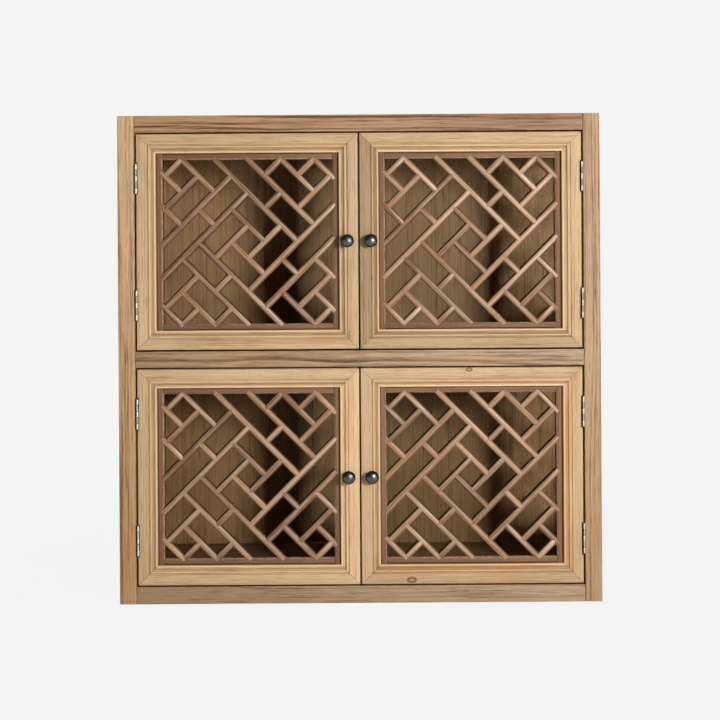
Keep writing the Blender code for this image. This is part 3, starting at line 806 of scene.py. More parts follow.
def leave():
    """Go back to object mode."""
    bpy.ops.object.mode_set(mode="OBJECT")


def pick(piece, kind, test):
    """Select the verts, edges or faces that pass a test, and nothing else."""
    bpy.ops.mesh.select_all(action="DESELECT")
    form = bmesh.from_edit_mesh(piece.data)
    for part in getattr(form, kind):
        if test(part):
            part.select_set(True)
    form.select_flush_mode()
    bmesh.update_edit_mesh(piece.data)


def lies(edge, axis, place):
    """Whether an edge lies at a place on an axis."""
    return all(abs(vert.co[axis] - place) < MERGE for vert in edge.verts)


def span(edge, axis):
    """How far an edge reaches along an axis."""
    return abs(edge.verts[0].co[axis] - edge.verts[1].co[axis])


def bevel_edges(piece, test, width, segments, clamp=False):
    """Bevel the edges of a piece that pass a test."""
    edit(piece)
    pick(piece, "edges", test)
    bpy.ops.mesh.bevel(offset=width, segments=segments, affect="EDGES", clamp_overlap=clamp)
    leave()


def modify(piece, kind, **settings):
    """Add a modifier and apply it."""
    use(piece)
    bpy.ops.object.modifier_add(type=kind)
    step = piece.modifiers[-1]
    for key, value in settings.items():
        setattr(step, key, value)
    bpy.ops.object.modifier_apply(modifier=step.name)


def smooth(piece):
    """Shade a piece smooth between its sharp edges."""
    use(piece)
    bpy.ops.object.shade_smooth_by_angle(angle=SMOOTH_ANGLE)


def ease(piece, width, segments=2, angle=40):
    """Round the edges of a piece that are sharper than an angle in degrees."""
    modify(piece, "BEVEL", width=width, segments=segments, limit_method="ANGLE",
           angle_limit=math.radians(angle))
    smooth(piece)


def drop(*pieces):
    """Remove tools and patterns that have been used."""
    for piece in pieces:
        bpy.data.objects.remove(piece, do_unlink=True)


def combine(piece, tool, operation):
    """Join a tool's solid to a piece or cut it out, and drop the tool."""
    modify(piece, "BOOLEAN", operation=operation, solver="EXACT", object=tool)
    drop(tool)


def join(pieces, name):
    """Join pieces into one object."""
    deselect()
    for piece in pieces:
        piece.select_set(True)
    bpy.context.view_layer.objects.active = pieces[0]
    bpy.ops.object.join()
    pieces[0].name = name
    return pieces[0]


def apply_place(piece):
    """Put a piece's place, turn and size into its mesh."""
    use(piece)
    bpy.ops.object.transform_apply(location=True, rotation=True, scale=True)


def added(name):
    """Name the primitive that was just added, with its place in its mesh."""
    piece = bpy.context.object
    piece.name = name
    apply_place(piece)
    return piece


def box(name, low, high):
    """A block between two opposite corners, to be shaped further."""
    low = Vector(low)
    high = Vector(high)
    deselect()
    bpy.ops.mesh.primitive_cube_add(size=1, location=(low + high) / 2, scale=high - low)
    return added(name)


def rod(name, radius, low, high, sides):
    """A round block along the Z axis, to be shaped further."""
    deselect()
    bpy.ops.mesh.primitive_cylinder_add(vertices=sides, radius=radius, depth=high - low,
                                        location=(0, 0, (low + high) / 2))
    return added(name)


def turned(name, profile, steps):
    """Turn a profile of radius and height once round the Z axis."""
    deselect()
    bpy.ops.mesh.primitive_plane_add(size=1)
    piece = added(name)
    edit(piece, "VERT", "SELECT")
    bpy.ops.mesh.merge(type="CENTER")
    place = Vector((profile[0][0], 0, profile[0][1]))
    bpy.ops.transform.translate(value=place)
    for radius, height in profile[1:]:
        step = Vector((radius, 0, height)) - place
        bpy.ops.mesh.extrude_region_move(TRANSFORM_OT_translate={"value": step})
        place += step
    bpy.ops.mesh.select_all(action="SELECT")
    bpy.ops.mesh.spin(steps=steps, angle=2 * math.pi, center=(0, 0, 0), axis=(0, 0, 1))
    bpy.ops.mesh.select_all(action="SELECT")
    bpy.ops.mesh.remove_doubles(threshold=MERGE)
    bpy.ops.mesh.normals_make_consistent(inside=False)
    leave()
    smooth(piece)
    return piece


def arc(centre, size, start, end, steps):
    """Points of an arc with its ends, angles in degrees from the first axis."""
    turns = [math.radians(start + (end - start) * step / steps) for step in range(steps + 1)]
    return [(centre[0] + size[0] * math.cos(turn), centre[1] + size[1] * math.sin(turn)) for turn in turns]


def clean_copy(node, name):
    """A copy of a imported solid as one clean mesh."""
    piece = bpy.data.objects.new(name, frame["nodes"][node].data.copy())
    bpy.context.scene.collection.objects.link(piece)
    use(piece)
    bpy.ops.mesh.customdata_custom_splitnormals_clear()
    edit(piece, "EDGE", "SELECT")
    bpy.ops.mesh.remove_doubles(threshold=MERGE)
    bpy.ops.mesh.dissolve_limited(angle_limit=FLAT_ANGLE)
    leave()
    return piece


def place_copy(pattern, name, location, turn=None, mirror=False):
    """A named copy of a pattern with its place in its own mesh."""
    piece = bpy.data.objects.new(name, pattern.data.copy())
    bpy.context.scene.collection.objects.link(piece)
    flip = Matrix.Diagonal((-1 if mirror else 1, 1, 1, 1))
    piece.matrix_world = Matrix.Translation(location) @ flip @ (turn or Matrix.Identity(4))
    apply_place(piece)
    if mirror:
        edit(piece, "EDGE", "SELECT")
        bpy.ops.mesh.normals_make_consistent(inside=False)
        leave()
    return piece


def settle(piece, body, slot, materials, *nodes):
    """Give a piece its finish, its body and the solids that it stands for."""
    piece.data.materials.clear()
    for material in materials:
        piece.data.materials.append(material)
    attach(piece, body)
    if nodes:
        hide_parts(*nodes)


def hinge_axis(door):
    """A point on a door's hinge axis."""
    joint = next(joint for joint in frame["joints"] if joint["child"] == f"{door}_door")
    return Vector(joint["pos_m"])


def hand_of(door):
    """1 for a door hung on the left, -1 for one hung on the right."""
    return HANDS[door.split("_")[1]]


class CABINET_OT_case_boards(bpy.types.Operator):
    """Ease the case boards and give each its own oiled pine"""

    bl_idname = "cabinet.case_boards"
    bl_label = "Case Boards"

    def execute(self, context):
        timber = context.scene.cabinet_timber
        for node, plank in CASE_PLANKS.items():
            low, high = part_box(node)
            board = clean_copy(node, f"{node}_timber")
            ease(board, timber.case_edge, segments=3, angle=30)
            finish = board_finish(f"{node}_pine", plank, low, high,
                                  timber.case_pale, timber.case_dark, case=node)
            settle(board, "cabinet", "carcass_pine", [finish], node)
        return {"FINISHED"}


class CABINET_OT_door_frames(bpy.types.Operator):
    """Ease the moulded door members and give each its own pine"""

    bl_idname = "cabinet.door_frames"
    bl_label = "Door Frames"

    def execute(self, context):
        timber = context.scene.cabinet_timber
        for door in DOORS:
            for member in MEMBERS:
                node = f"{door}_door_{member}"
                low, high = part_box(node)
                piece = clean_copy(node, f"{node}_moulding")
                axis = 2 if member.endswith("stile") else 0
                bevel_edges(piece, lambda edge: self.runs_along(edge, axis),
                            timber.moulding_edge, 3, clamp=True)
                smooth(piece)
                outer = self.outer_edge(door, member, low, high)
                finish = board_finish(f"{node}_pine", self.plank(door, member), low, high,
                                      timber.door_pale, timber.door_dark, outer=outer)
                settle(piece, f"{door}_door", "door_pine", [finish], node)
        return {"FINISHED"}

    @staticmethod
    def plank(door, member):
        """How one door member was sawn."""
        place = MEMBERS.index(member)
        number = DOORS.index(door) * len(MEMBERS) + place
        return Plank(
            grain="ZXY" if member.endswith("stile") else "XZY",
            pith=(0.05 + 0.03 * math.cos(number * 1.9), 0.05 + 0.02 * math.sin(number)),
            ring=0.0023, wave=0.004, lean=0.004 * math.sin(number * 2.3),
            tone=DOOR_TONES[door][place], figure=0.32, stave=0.0, seed=20.0 + number * 1.37,
            line=0.3, resin=DOOR_RESIN.get(f"{door}_{member}", 0.3), grey=0.15,
            knot=DOOR_KNOTS.get(f"{door}_{member}"))

    @staticmethod
    def outer_edge(door, member, low, high):
        """Where a member's outer edge lies, across its length."""
        if member == "top_rail":
            return high.z
        if member == "bottom_rail":
            return low.z
        at_left = (member == "hinge_stile") == (hand_of(door) > 0)
        return low.x if at_left else high.x

    @staticmethod
    def runs_along(edge, axis):
        """Whether an edge of the moulding runs along the member and isn't flat."""
        if len(edge.link_faces) != 2 or edge.calc_face_angle() < math.radians(15):
            return False
        return span(edge, axis) > 0.99 * edge.calc_length()


def quarter_turn(point):
    """A fretwork point turned a quarter about the middle."""
    return (point[1], -point[0])


def fretwork_bars():
    """Every bar of the pattern: those that fall to the right, then those that rise."""
    falling = list(QUARTER_BARS)
    rising = [tuple(quarter_turn(point) for point in bar) for bar in falling]
    falling += [tuple(quarter_turn(point) for point in bar) for bar in rising]
    rising += [tuple(quarter_turn(quarter_turn(point)) for point in bar) for bar in rising]
    return falling, rising


def on_border(point):
    """Whether a fretwork point lies on the pattern's edge."""
    return max(abs(point[0]), abs(point[1])) == PATTERN_REACH


class CABINET_OT_fretwork(bpy.types.Operator):
    """Model one fretwork panel of strips and rounded bars and hang a copy in each door"""

    bl_idname = "cabinet.fretwork"
    bl_label = "Fretwork Panels"

    def execute(self, context):
        sizes = context.scene.cabinet_fretwork
        low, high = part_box(f"{DOORS[0]}_door_lattice")
        edge = sizes.strip_lip + sizes.strip_show
        self.half_outer = (high - low) / 2
        self.half_opening = self.half_outer - Vector((edge, 0, edge))
        self.depth = high.y - low.y
        self.unit = (self.half_opening.z + sizes.pattern_lap) / PATTERN_REACH
        falling, rising = fretwork_bars()
        taken = {point for bar in falling for point in bar if on_border(point)}
        parts = [
            self.strips(sizes, "upright_strips", 0, self.half_outer.z),
            self.strips(sizes, "level_strips", 2, self.half_opening.x),
            self.bars(sizes, falling, set(), "falling_bars", sizes.bar_width, 0.0),
            self.bars(sizes, rising, taken, "rising_bars", sizes.rising_width, sizes.bar_step),
        ]
        stand_ins = [bpy.data.materials.new(f"{part.name}_stain") for part in parts]
        for part, stand_in in zip(parts, stand_ins):
            part.data.materials.append(stand_in)
        pattern = join(parts, "fretwork_pattern")
        for door in DOORS:
            self.hang(sizes, pattern, door)
        drop(pattern)
        for stand_in in stand_ins:
            bpy.data.materials.remove(stand_in)
        return {"FINISHED"}

    def strips(self, sizes, name, axis, reach):
        """The border strips at both ends of an axis, chamfered along their inner front edges."""
        front = self.depth - sizes.strip_thickness
        pieces = []
        for side in (1, -1):
            inner = side * self.half_opening[axis]
            low = [-reach, front, -reach]
            high = [reach, self.depth, reach]
            low[axis], high[axis] = sorted((inner, side * self.half_outer[axis]))
            piece = box(name, low, high)
            bevel_edges(piece, lambda edge: lies(edge, 1, front) and lies(edge, axis, inner),
                        sizes.strip_chamfer, 1)
            ease(piece, 0.3 * MM)
            pieces.append(piece)
        return join(pieces, name)

    def bar_end(self, sizes, point, way, taken):
        """Where a bar stops: lapped onto a strip, or seated in the bar it meets."""
        place = Vector((point[0] * self.unit, 0, point[1] * self.unit))
        if not on_border(point):
            return place - way * sizes.bar_stop
        if point in taken:
            return place
        axis = 0 if abs(point[0]) == PATTERN_REACH else 2
        reach = self.half_opening[axis] + sizes.bar_lap
        return place + way * ((reach - abs(place[axis])) / abs(way[axis]))

    def bars(self, sizes, bars, taken, name, width, step):
        """All bars of one direction, each a block whose front is rounded to a crest.

        taken are the border points that other bars hold, and step how much shorter the bars are behind.
        Each bar has its own number in the attribute bar, and faces that look up and left are marked for
        painted shade.
        """
        round_off = width * 0.48
        shoulder = sizes.bar_rise
        squeeze = shoulder / round_off
        front = shoulder - round_off
        back = sizes.bar_depth - step
        pieces = []
        for number, (start, end) in enumerate(bars):
            way = Vector((end[0] - start[0], 0, end[1] - start[1])).normalized()
            first = self.bar_end(sizes, start, -way, taken)
            last = self.bar_end(sizes, end, way, taken)
            middle = (first + last) / 2 + Vector((0, (front + back) / 2, 0))
            deselect()
            bpy.ops.mesh.primitive_cube_add(
                size=1, location=middle, rotation=(0, math.atan2(way.x, way.z), 0),
                scale=(width, back - front, (last - first).length))
            block = added(name)
            mark = block.data.attributes.new("bar", "FLOAT", "FACE")
            mark.data.foreach_set("value", [number] * len(block.data.polygons))
            pieces.append(block)
        piece = join(pieces, name)
        long_edge = width * 1.5
        bevel_edges(piece, lambda edge: edge.calc_length() > long_edge and lies(edge, 1, front),
                    round_off, sizes.crest_segments)
        edit(piece, "VERT")
        pick(piece, "verts", lambda vert: vert.co.y < shoulder - MERGE)
        bpy.ops.transform.resize(value=(1, squeeze, 1), center_override=(0, shoulder, 0))
        leave()
        ease(piece, 0.35 * MM, angle=50)
        # Mark the faces that look up and left for painted shade
        upper_left = Vector((-ROOT_HALF, 0, ROOT_HALF))
        leans = [face.normal.dot(upper_left) for face in piece.data.polygons]
        lee = piece.data.attributes.new("lee", "FLOAT", "FACE")
        lee.data.foreach_set("value", [float(lean > SHADE_LEAN) for lean in leans])
        return piece

    def hang(self, sizes, pattern, door):
        """Copy the panel into a door, with its own stained wood."""
        node = f"{door}_door_lattice"
        low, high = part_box(node)
        middle = (low + high) / 2
        place = Vector((middle.x, low.y, middle.z))
        piece = place_copy(pattern, f"{door}_door_fretwork", place)
        number = DOORS.index(door)
        ring = sizes.bar_ring
        upright = Plank("ZXY", (0.03, 0.05), ring, 0.003, 0.004, 0.66, 0.9, 0.0, 50.0 + number * 3.1)
        level = Plank("XZY", (0.04, 0.04), ring, 0.003, -0.003, 0.64, 0.9, 0.0, 51.7 + number * 3.1)
        pitch = 2 * self.unit * ROOT_HALF
        falling = Plank("", (0.02, 0.03), ring, 0.002, 0.006, 0.82, 0.8, pitch, 60.0 + number * 5.3)
        rising = falling._replace(seed=falling.seed + 2.2, tone=0.77)
        finishes = [
            strip_finish(f"{node}_upright_stain", upright, middle, 0, self.half_opening.x),
            strip_finish(f"{node}_level_stain", level, middle, 2, self.half_opening.z),
            bar_finish(f"{node}_falling_stain", falling, place, -1, low.y),
            bar_finish(f"{node}_rising_stain", rising, place, 1, low.y),
        ]
        slots = [face.material_index for face in piece.data.polygons]
        settle(piece, f"{door}_door", "lattice_wood", finishes, node)
        for face, slot in zip(piece.data.polygons, slots):
            face.material_index = slot


def screw_head(metal):
    """A countersunk head with a cross slot, its face up at the origin."""
    head = rod("screw_head", metal.screw_radius, -0.5 * MM, metal.screw_proud, 24)
    slot_half = metal.screw_radius * 0.62
    slot_width = metal.screw_radius * 0.11
    slot_floor = -0.3 * MM
    for x, y in ((slot_half, slot_width), (slot_width, slot_half)):
        combine(head, box("slot", (-x, -y, slot_floor), (x, y, 1 * MM)), "DIFFERENCE")
    ease(head, 0.06 * MM, angle=50)
    return head


class CABINET_OT_hinges(bpy.types.Operator):
    """Model the butt hinges: leaves with rolled knuckles and screws, and pins"""

    bl_idname = "cabinet.hinges"
    bl_label = "Hinges"

    # A leaf's screws: shares of its width behind the axis side and of its length from the middle
    screw_seats = ((0.38, -0.36), (0.66, 0.0), (0.38, 0.36))

    def execute(self, context):
        metal = context.scene.cabinet_metal
        low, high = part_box(f"{DOORS[0]}_frame_upper_leaf")
        self.length = high.z - low.z
        axis = hinge_axis(DOORS[0])
        door_leaf = frame["nodes"][f"{DOORS[0]}_door_upper_leaf"]
        screw = screw_head(metal)
        leaves = {
            "frame": self.leaf(metal, "frame_leaf", low.x - axis.x, 0, 1, screw),
            "door": self.leaf(metal, "door_leaf", self.plate_start(door_leaf, axis, metal), 1, -1, screw),
        }
        pin = self.pin(metal)
        # The leaves' brass has painted shade on the sides of the knuckles
        finish = metal_finish("antique_brass", metal.brass, metal.patina, wear=0.2, rough=0.36, metallic=0.2,
                              axis=hinge_axis(DOORS[1]))
        # The pins are dark so that they show as painted shade in the gaps between the knuckles and at the
        # hinges' ends
        pin_shade = metal_finish("dull_brass", toned(metal.patina, 0.3), toned(metal.patina, 0.12),
                            wear=0.0, rough=0.4)
        for door in DOORS:
            bodies = {"frame": "cabinet", "door": f"{door}_door"}
            for level in LEVELS:
                leaf_low, leaf_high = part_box(f"{door}_frame_{level}_leaf")
                place = hinge_axis(door)
                place.z = (leaf_low.z + leaf_high.z) / 2
                for kind, body in bodies.items():
                    node = f"{door}_{kind}_{level}_leaf"
                    piece = place_copy(leaves[kind], f"{node}_brass", place, mirror=hand_of(door) < 0)
                    settle(piece, body, "hinge_brass", [finish], node)
                node = f"{door}_{level}_pin"
                settle(place_copy(pin, f"{node}_brass", place), "cabinet", "hinge_brass", [pin_shade], node)
        drop(screw, pin, *leaves.values())
        return {"FINISHED"}

    @staticmethod
    def plate_start(leaf, axis, metal):
        """Where a leaf's plate starts beside the hinge axis."""
        rear = axis.y + metal.leaf_setback + metal.leaf_width * 0.5
        return min(vert.co.x for vert in leaf.data.vertices if vert.co.y > rear) - axis.x

    def leaf(self, metal, name, offset, first, face, screw):
        """A leaf about the hinge axis: plate, tabs, rolled knuckles and three screws.

        first is its first knuckle, and face the way that its screws look along X.
        """
        half = self.length / 2
        thick = metal.leaf_thickness
        start = metal.leaf_setback
        rear = start + metal.leaf_width
        plate = box(name, (offset, start, -half), (offset + thick, rear, half))
        bevel_edges(plate, lambda edge: lies(edge, 1, rear) and span(edge, 0) > thick / 2,
                    metal.leaf_corner, 5)
        pitch = self.length / metal.knuckles
        tab_end = self.tab_end(metal, offset)
        for index in range(first, metal.knuckles, 2):
            low = -half + index * pitch + metal.knuckle_gap / 2
            high = low + pitch - metal.knuckle_gap
            tab = box("tab", (offset, tab_end, low), (offset + thick, start + thick / 2, high))
            combine(plate, tab, "UNION")
            combine(plate, self.knuckle(metal, low, high), "UNION")
        ease(plate, 0.12 * MM, angle=50)
        turn = Matrix.Rotation(face * math.pi / 2, 4, "Y")
        outer = offset + thick if face > 0 else offset
        screws = []
        for across, along in self.screw_seats:
            place = (outer, start + across * metal.leaf_width, along * self.length)
            screws.append(place_copy(screw, "leaf_screw", place, turn))
        return join([plate, *screws], name)

    @staticmethod
    def tab_end(metal, offset):
        """Where a tab ends inside the wall of its knuckle."""
        wall = (metal.knuckle_radius + metal.bore_radius) / 2
        reach = abs(offset + metal.leaf_thickness / 2)
        return math.sqrt(max(wall * wall - reach * reach, 0.0))

    @staticmethod
    def knuckle(metal, low, high):
        """A tube between two heights, bored through."""
        tube = rod("knuckle", metal.knuckle_radius, low, high, 32)
        edit(tube, "FACE")
        pick(tube, "faces", lambda side: abs(side.normal.z) > 0.9)
        bpy.ops.mesh.inset(thickness=metal.knuckle_radius - metal.bore_radius, use_individual=True)
        bpy.ops.mesh.bridge_edge_loops()
        leave()
        return tube

    def pin(self, metal):
        """A pin with a domed head at each end."""
        reach = self.length / 2 + metal.pin_proud
        dome = arc((0, reach), (metal.pin_head, metal.pin_dome), 90, 0, 6)
        dome[0] = (0, dome[0][1])
        upper = dome + [(metal.pin_radius, reach)]
        profile = upper + [(radius, -height) for radius, height in reversed(upper)]
        return turned("pin", profile, 24)


class CABINET_OT_knobs(bpy.types.Operator):
    """Turn the round knobs and set one on each door"""

    bl_idname = "cabinet.knobs"
    bl_label = "Knobs"

    def execute(self, context):
        metal = context.scene.cabinet_metal
        low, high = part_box(f"{DOORS[0]}_door_knob")
        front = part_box(f"{DOORS[0]}_door_meeting_stile")[0].y
        radius = (high.x - low.x) / 2
        knob = turned("knob", self.profile(radius, front - low.y, high.y - front), metal.turned_steps)
        turn = Matrix.Rotation(math.pi / 2, 4, "X")
        bright = toned(metal.gunmetal, 2.9)
        coat = toned(metal.gunmetal, 1.4)
        for door in DOORS:
            node = f"{door}_door_knob"
            low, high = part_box(node)
            place = ((low.x + high.x) / 2, front, (low.z + high.z) / 2)
            piece = place_copy(knob, f"{node}_turned", place, turn)
            finish = metal_finish(f"{node}_gunmetal", bright, coat, wear=0.05, rough=0.2, rim=(place, radius))
            settle(piece, f"{door}_door", "knob_metal", [finish], node)
        drop(knob)
        return {"FINISHED"}

    @staticmethod
    def profile(radius, projection, stud):
        """Radius and height from the dome's tip down to the stud."""
        rim = projection - 7 * MM
        waist = 3.8 * MM
        waist_height = 6 * MM
        base = 5.5 * MM
        base_height = 1.9 * MM
        collar = 3.5 * MM
        seat = 0.3 * MM
        stud_radius = 2 * MM
        dome = arc((0, rim), (radius, projection - rim), 90, 0, 14)
        dome[0] = (0, projection)
        flare = arc((waist, rim), (radius - waist, waist_height - rim), 0, 90, 10)
        foot = arc((base, collar), (waist - base, base_height - collar), 0, 90, 5)
        lip = [(base, base_height * 0.9), (base, seat)]
        return dome + flare[1:] + foot + lip + [(stud_radius, seat), (stud_radius, -stud), (0, -stud)]


class CABINET_OT_catches(bpy.types.Operator):
    """Fit the magnetic catches with poles and screws, and their strike plates on the doors"""

    bl_idname = "cabinet.catches"
    bl_label = "Catches"

    # Where the magnets and the screws lie, as shares of a catch's width from its middle
    magnet_share = 0.26
    screw_share = 0.36
    # Half width and half height of a pole plate and a strike plate
    pole = (7 * MM, 0.7 * MM)
    plate = (8 * MM, 6 * MM)

    def execute(self, context):
        metal = context.scene.cabinet_metal
        case_finish = moulded_finish("catch_moulding", metal.catch_brown)
        steel = metal_finish("bright_steel", metal.steel, toned(metal.steel, 0.45), wear=0.08, rough=0.32)
        screw = screw_head(metal)
        turn = Matrix.Rotation(math.pi, 4, "X")
        for level in LEVELS:
            node = f"{level}_catch"
            low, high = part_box(node)
            middle = (low + high) / 2
            width = high.x - low.x
            case = clean_copy(node, f"{node}_case")
            ease(case, 0.5 * MM, segments=3, angle=20)
            settle(case, "cabinet", "catch_plastic", [case_finish], node)
            poles = self.poles(f"{node}_poles", low.y, middle.z, width)
            settle(poles, "cabinet", "hinge_brass", [steel])
            places = [(side * self.screw_share * width, middle.y, low.z) for side in (-1, 1)]
            screws = [place_copy(screw, "catch_screw", place, turn) for place in places]
            settle(join(screws, f"{node}_screws"), "cabinet", "hinge_brass", [steel])
            for hand, side in HANDS.items():
                door = f"{level}_{hand}"
                strike = self.strike(metal, screw, door, -side * self.magnet_share * width, middle.z)
                settle(strike, f"{door}_door", "hinge_brass", [steel])
        drop(screw)
        return {"FINISHED"}

    def poles(self, name, front, middle, width):
        """The magnets' four pole plates in the catch's front."""
        half_width, half_height = self.pole
        apart = 2.2 * MM
        proud = 0.25 * MM
        depth = 3 * MM
        parts = []
        for side in (-1, 1):
            for level in (-1, 1):
                x = side * self.magnet_share * width
                z = middle + level * apart
                pole = box("pole", (x - half_width, front - proud, z - half_height),
                           (x + half_width, front + depth, z + half_height))
                ease(pole, 0.1 * MM)
                parts.append(pole)
        return join(parts, name)

    def strike(self, metal, screw, door, x, z):
        """A strike plate on the back of a door, facing its magnet, with one screw."""
        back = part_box(f"{door}_door_meeting_stile")[1].y
        face = back + metal.strike_thickness
        half_width, half_height = self.plate
        plate = box("strike", (x - half_width, back, z - half_height),
                    (x + half_width, face, z + half_height))
        bevel_edges(plate, lambda edge: span(edge, 1) > metal.strike_thickness / 2, 2 * MM, 5)
        ease(plate, 0.12 * MM)
        head = place_copy(screw, "strike_screw", (x, face, z), Matrix.Rotation(-math.pi / 2, 4, "X"))
        return join([plate, head], f"{door}_door_strike_plate")


class CABINET_OT_nails(bpy.types.Operator):
    """Nail the back panel into its rabbets and pin the fretwork into the doors"""

    bl_idname = "cabinet.nails"
    bl_label = "Nails"

    def execute(self, context):
        metal = context.scene.cabinet_metal
        steel = metal_finish("dull_steel", metal.steel, toned(metal.steel, 0.35), wear=-0.02, rough=0.42)
        nail = self.head("nail_head", metal.nail_radius)
        nails = self.drive(metal, nail, "back_panel", metal.nail_step, "back_panel_nails")
        settle(nails, "cabinet", "hinge_brass", [steel])
        brad = self.head("brad_head", metal.brad_radius)
        for door in DOORS:
            brads = self.drive(metal, brad, f"{door}_door_lattice", metal.brad_step, f"{door}_door_brads")
            settle(brads, f"{door}_door", "hinge_brass", [steel])
        drop(nail, brad)
        return {"FINISHED"}

    @staticmethod
    def head(name, radius):
        """A flat round head with a raised face, sunk in the surface and just proud of it."""
        sunk = 0.4 * MM
        proud = 0.25 * MM
        piece = rod(name, radius, -sunk, proud, 16)
        edit(piece, "FACE")
        pick(piece, "faces", lambda side: side.normal.z > 0.9)
        bpy.ops.mesh.inset(thickness=radius * 0.35)
        bpy.ops.transform.translate(value=(0, 0, 0.08 * MM))
        leave()
        ease(piece, 0.08 * MM)
        return piece

    def drive(self, metal, head, node, step, name):
        """Heads all round the back of a panel, as one piece."""
        low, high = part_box(node)
        inset = metal.nail_inset
        turn = Matrix.Rotation(-math.pi / 2, 4, "X")
        places = self.round_edge(low.x + inset, high.x - inset, low.z + inset, high.z - inset, step)
        return join([place_copy(head, name, (x, high.y, z), turn) for x, z in places], name)

    @staticmethod
    def round_edge(left, right, bottom, top, step):
        """Evenly spaced places round a rectangle, corners left free."""
        places = []
        across = round((right - left) / step)
        for index in range(across):
            x = left + (right - left) * (index + 0.5) / across
            places += [(x, bottom), (x, top)]
        up = round((top - bottom) / step)
        for index in range(up):
            z = bottom + (top - bottom) * (index + 0.5) / up
            places += [(left, z), (right, z)]
        return places


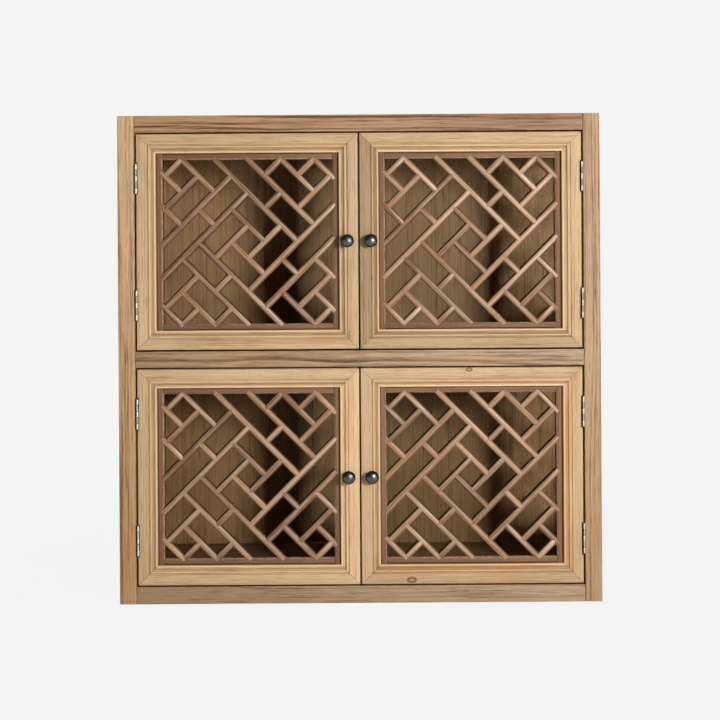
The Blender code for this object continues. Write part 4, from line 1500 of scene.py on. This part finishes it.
class CABINET_OT_stage(bpy.types.Operator):
    """Set the pale floor, the lamps and the camera"""

    bl_idname = "cabinet.stage"
    bl_label = "Stage"

    def execute(self, context):
        stage = context.scene.cabinet_stage
        cabinet = [piece for piece in bpy.data.objects if piece.type == "MESH"]
        self.floor(stage)
        self.world(context.scene, stage)
        self.lamp(stage, "key")
        self.lamp(stage, "back", [piece for piece in cabinet if piece.name == "back_panel_timber"])
        self.lamp(stage, "fill", [piece for piece in cabinet if piece.name.endswith("_moulding")])
        self.lamp(stage, "bounce", [piece for piece in cabinet if piece.name.endswith("_fretwork")])
        for side in (1, -1):
            self.lamp(stage, "rear", cabinet, side)
        self.camera(context.scene, stage)
        context.scene.view_settings.view_transform = "Standard"
        return {"FINISHED"}

    @staticmethod
    def floor(stage):
        """A wide pale floor that keeps the cabinet's shadow."""
        deselect()
        under_foot = 0.3 * MM
        bpy.ops.mesh.primitive_plane_add(size=stage.floor_size, location=(0, 0, -under_foot))
        floor = added("studio_floor")
        finish = Finish("studio_floor_paint")
        x, y, _ = finish.spots
        paint_colour = finish.blend(finish.speckle(1.5), grey(0.80), grey(0.82))
        finish.set(Base_Color=paint_colour, Roughness=0.9, Specular_IOR_Level=0.0)
        seen, glossy, through = finish.rays("Camera", "Glossy", "Transmission")
        glow = finish.node("ShaderNodeEmission", None, {"Color": opaque(grey(stage.pale))})
        paint = Shade(finish, finish.shader.outputs[0])
        shadow = 0.015
        far = (x * x + y * y).root().rise(0.45, 1.3)
        shown = seen.most(glossy).most(through) * (1 - shadow + far * shadow)
        mixed = finish.node("ShaderNodeMixShader", None, {0: shown, 1: paint, 2: glow})
        finish.feed(finish.tree.nodes["Material Output"].inputs["Surface"], mixed)
        floor.data.materials.append(finish.material)

    @staticmethod
    def world(scene, stage):
        """Pale to the eye, dimmer in reflections of the room in front, a weak even light otherwise."""
        scene.world = bpy.data.worlds.new("studio")
        scene.world.use_nodes = True
        sky = Tree(scene.world.node_tree)
        seen, glossy, through = sky.rays("Camera", "Glossy", "Transmission")
        way = sky.node("ShaderNodeTexCoord", output="Generated")
        toward = sky.node("ShaderNodeSeparateXYZ", None, {0: way}, 1)
        mirrored = glossy.most(through) * (toward.rise(-0.25, 0.35) * (1 - stage.room) + stage.room)
        shown = seen.most(mirrored)
        background = sky.tree.nodes["Background"]
        background.inputs["Color"].default_value = opaque(WHITE)
        sky.feed(background.inputs["Strength"], shown * stage.pale + (1 - seen.most(glossy)) * stage.ambient)

    @staticmethod
    def lamp(stage, kind, pieces=None, side=1):
        """A soft box turned to the cabinet, mirrored for side -1, that lights some pieces or all."""
        place, size, power = (getattr(stage, f"{kind}_{part}") for part in ("place", "size", "power"))
        place = Vector((side * place[0], place[1], place[2]))
        aim = Vector((0, cad_box[0].y, (cad_box[0].z + cad_box[1].z) / 2))
        deselect()
        bpy.ops.object.light_add(type="AREA", location=place)
        lamp = bpy.context.object
        lamp.name = f"{kind}_lamp" if side > 0 else f"mirrored_{kind}_lamp"
        lamp.data.shape = "RECTANGLE"
        lamp.data.size, lamp.data.size_y = size
        lamp.data.energy = power
        lamp.rotation_euler = (aim - place).to_track_quat("-Z", "Y").to_euler()
        if pieces:
            reach = bpy.data.collections.new(f"{lamp.name}_reach")
            for piece in pieces:
                reach.objects.link(piece)
            lamp.light_linking.receiver_collection = reach

    @staticmethod
    def camera(scene, stage):
        """A level camera at the photograph's place, shifted to centre the cabinet."""
        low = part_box("left_side")[0]
        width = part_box("right_side")[1].x - low.x
        deselect()
        bpy.ops.object.camera_add(location=(stage.eye_side, low.y - stage.eye_distance, stage.eye_height),
                                  rotation=(math.pi / 2, stage.roll, 0))
        camera = bpy.context.object
        camera.name = "front_camera"
        camera.data.sensor_width = 36
        camera.data.lens = camera.data.sensor_width * stage.width_share * stage.eye_distance / width
        camera.data.shift_y = (stage.middle_height - stage.eye_height) / width * stage.width_share
        scene.camera = camera


class CABINET_PT_sidebar(bpy.types.Panel):
    """Sizes, finishes and steps of the cabinet"""

    bl_idname = "CABINET_PT_sidebar"
    bl_label = "Fretwork Cabinet"
    bl_space_type = "VIEW_3D"
    bl_region_type = "UI"
    bl_category = "Cabinet"

    def draw(self, context):
        for step in STEPS:
            self.layout.operator(step.bl_idname)
        for group in GROUPS:
            settings = getattr(context.scene, group)
            section = self.layout.box()
            for name in settings.bl_rna.properties.keys():
                if name not in ("rna_type", "name"):
                    section.prop(settings, name)


GROUPS = {
    "cabinet_timber": CabinetTimber,
    "cabinet_fretwork": CabinetFretwork,
    "cabinet_metal": CabinetMetal,
    "cabinet_stage": CabinetStage,
}
STEPS = (
    CABINET_OT_case_boards,
    CABINET_OT_door_frames,
    CABINET_OT_fretwork,
    CABINET_OT_hinges,
    CABINET_OT_knobs,
    CABINET_OT_catches,
    CABINET_OT_nails,
    CABINET_OT_stage,
)


def register():
    """Add the settings, the steps and the sidebar."""
    for name, group in GROUPS.items():
        bpy.utils.register_class(group)
        setattr(bpy.types.Scene, name, PointerProperty(type=group))
    for step in (*STEPS, CABINET_PT_sidebar):
        bpy.utils.register_class(step)


def unregister():
    """Take the sidebar, the steps and the settings away again."""
    for step in reversed((*STEPS, CABINET_PT_sidebar)):
        bpy.utils.unregister_class(step)
    for name, group in GROUPS.items():
        delattr(bpy.types.Scene, name)
        bpy.utils.unregister_class(group)


def main():
    """Dress the cabinet step by step."""
    register()
    bpy.ops.cabinet.case_boards()
    bpy.ops.cabinet.door_frames()
    bpy.ops.cabinet.fretwork()
    bpy.ops.cabinet.hinges()
    bpy.ops.cabinet.knobs()
    bpy.ops.cabinet.catches()
    bpy.ops.cabinet.nails()
    bpy.ops.cabinet.stage()


if __name__ == "__main__":
    main()
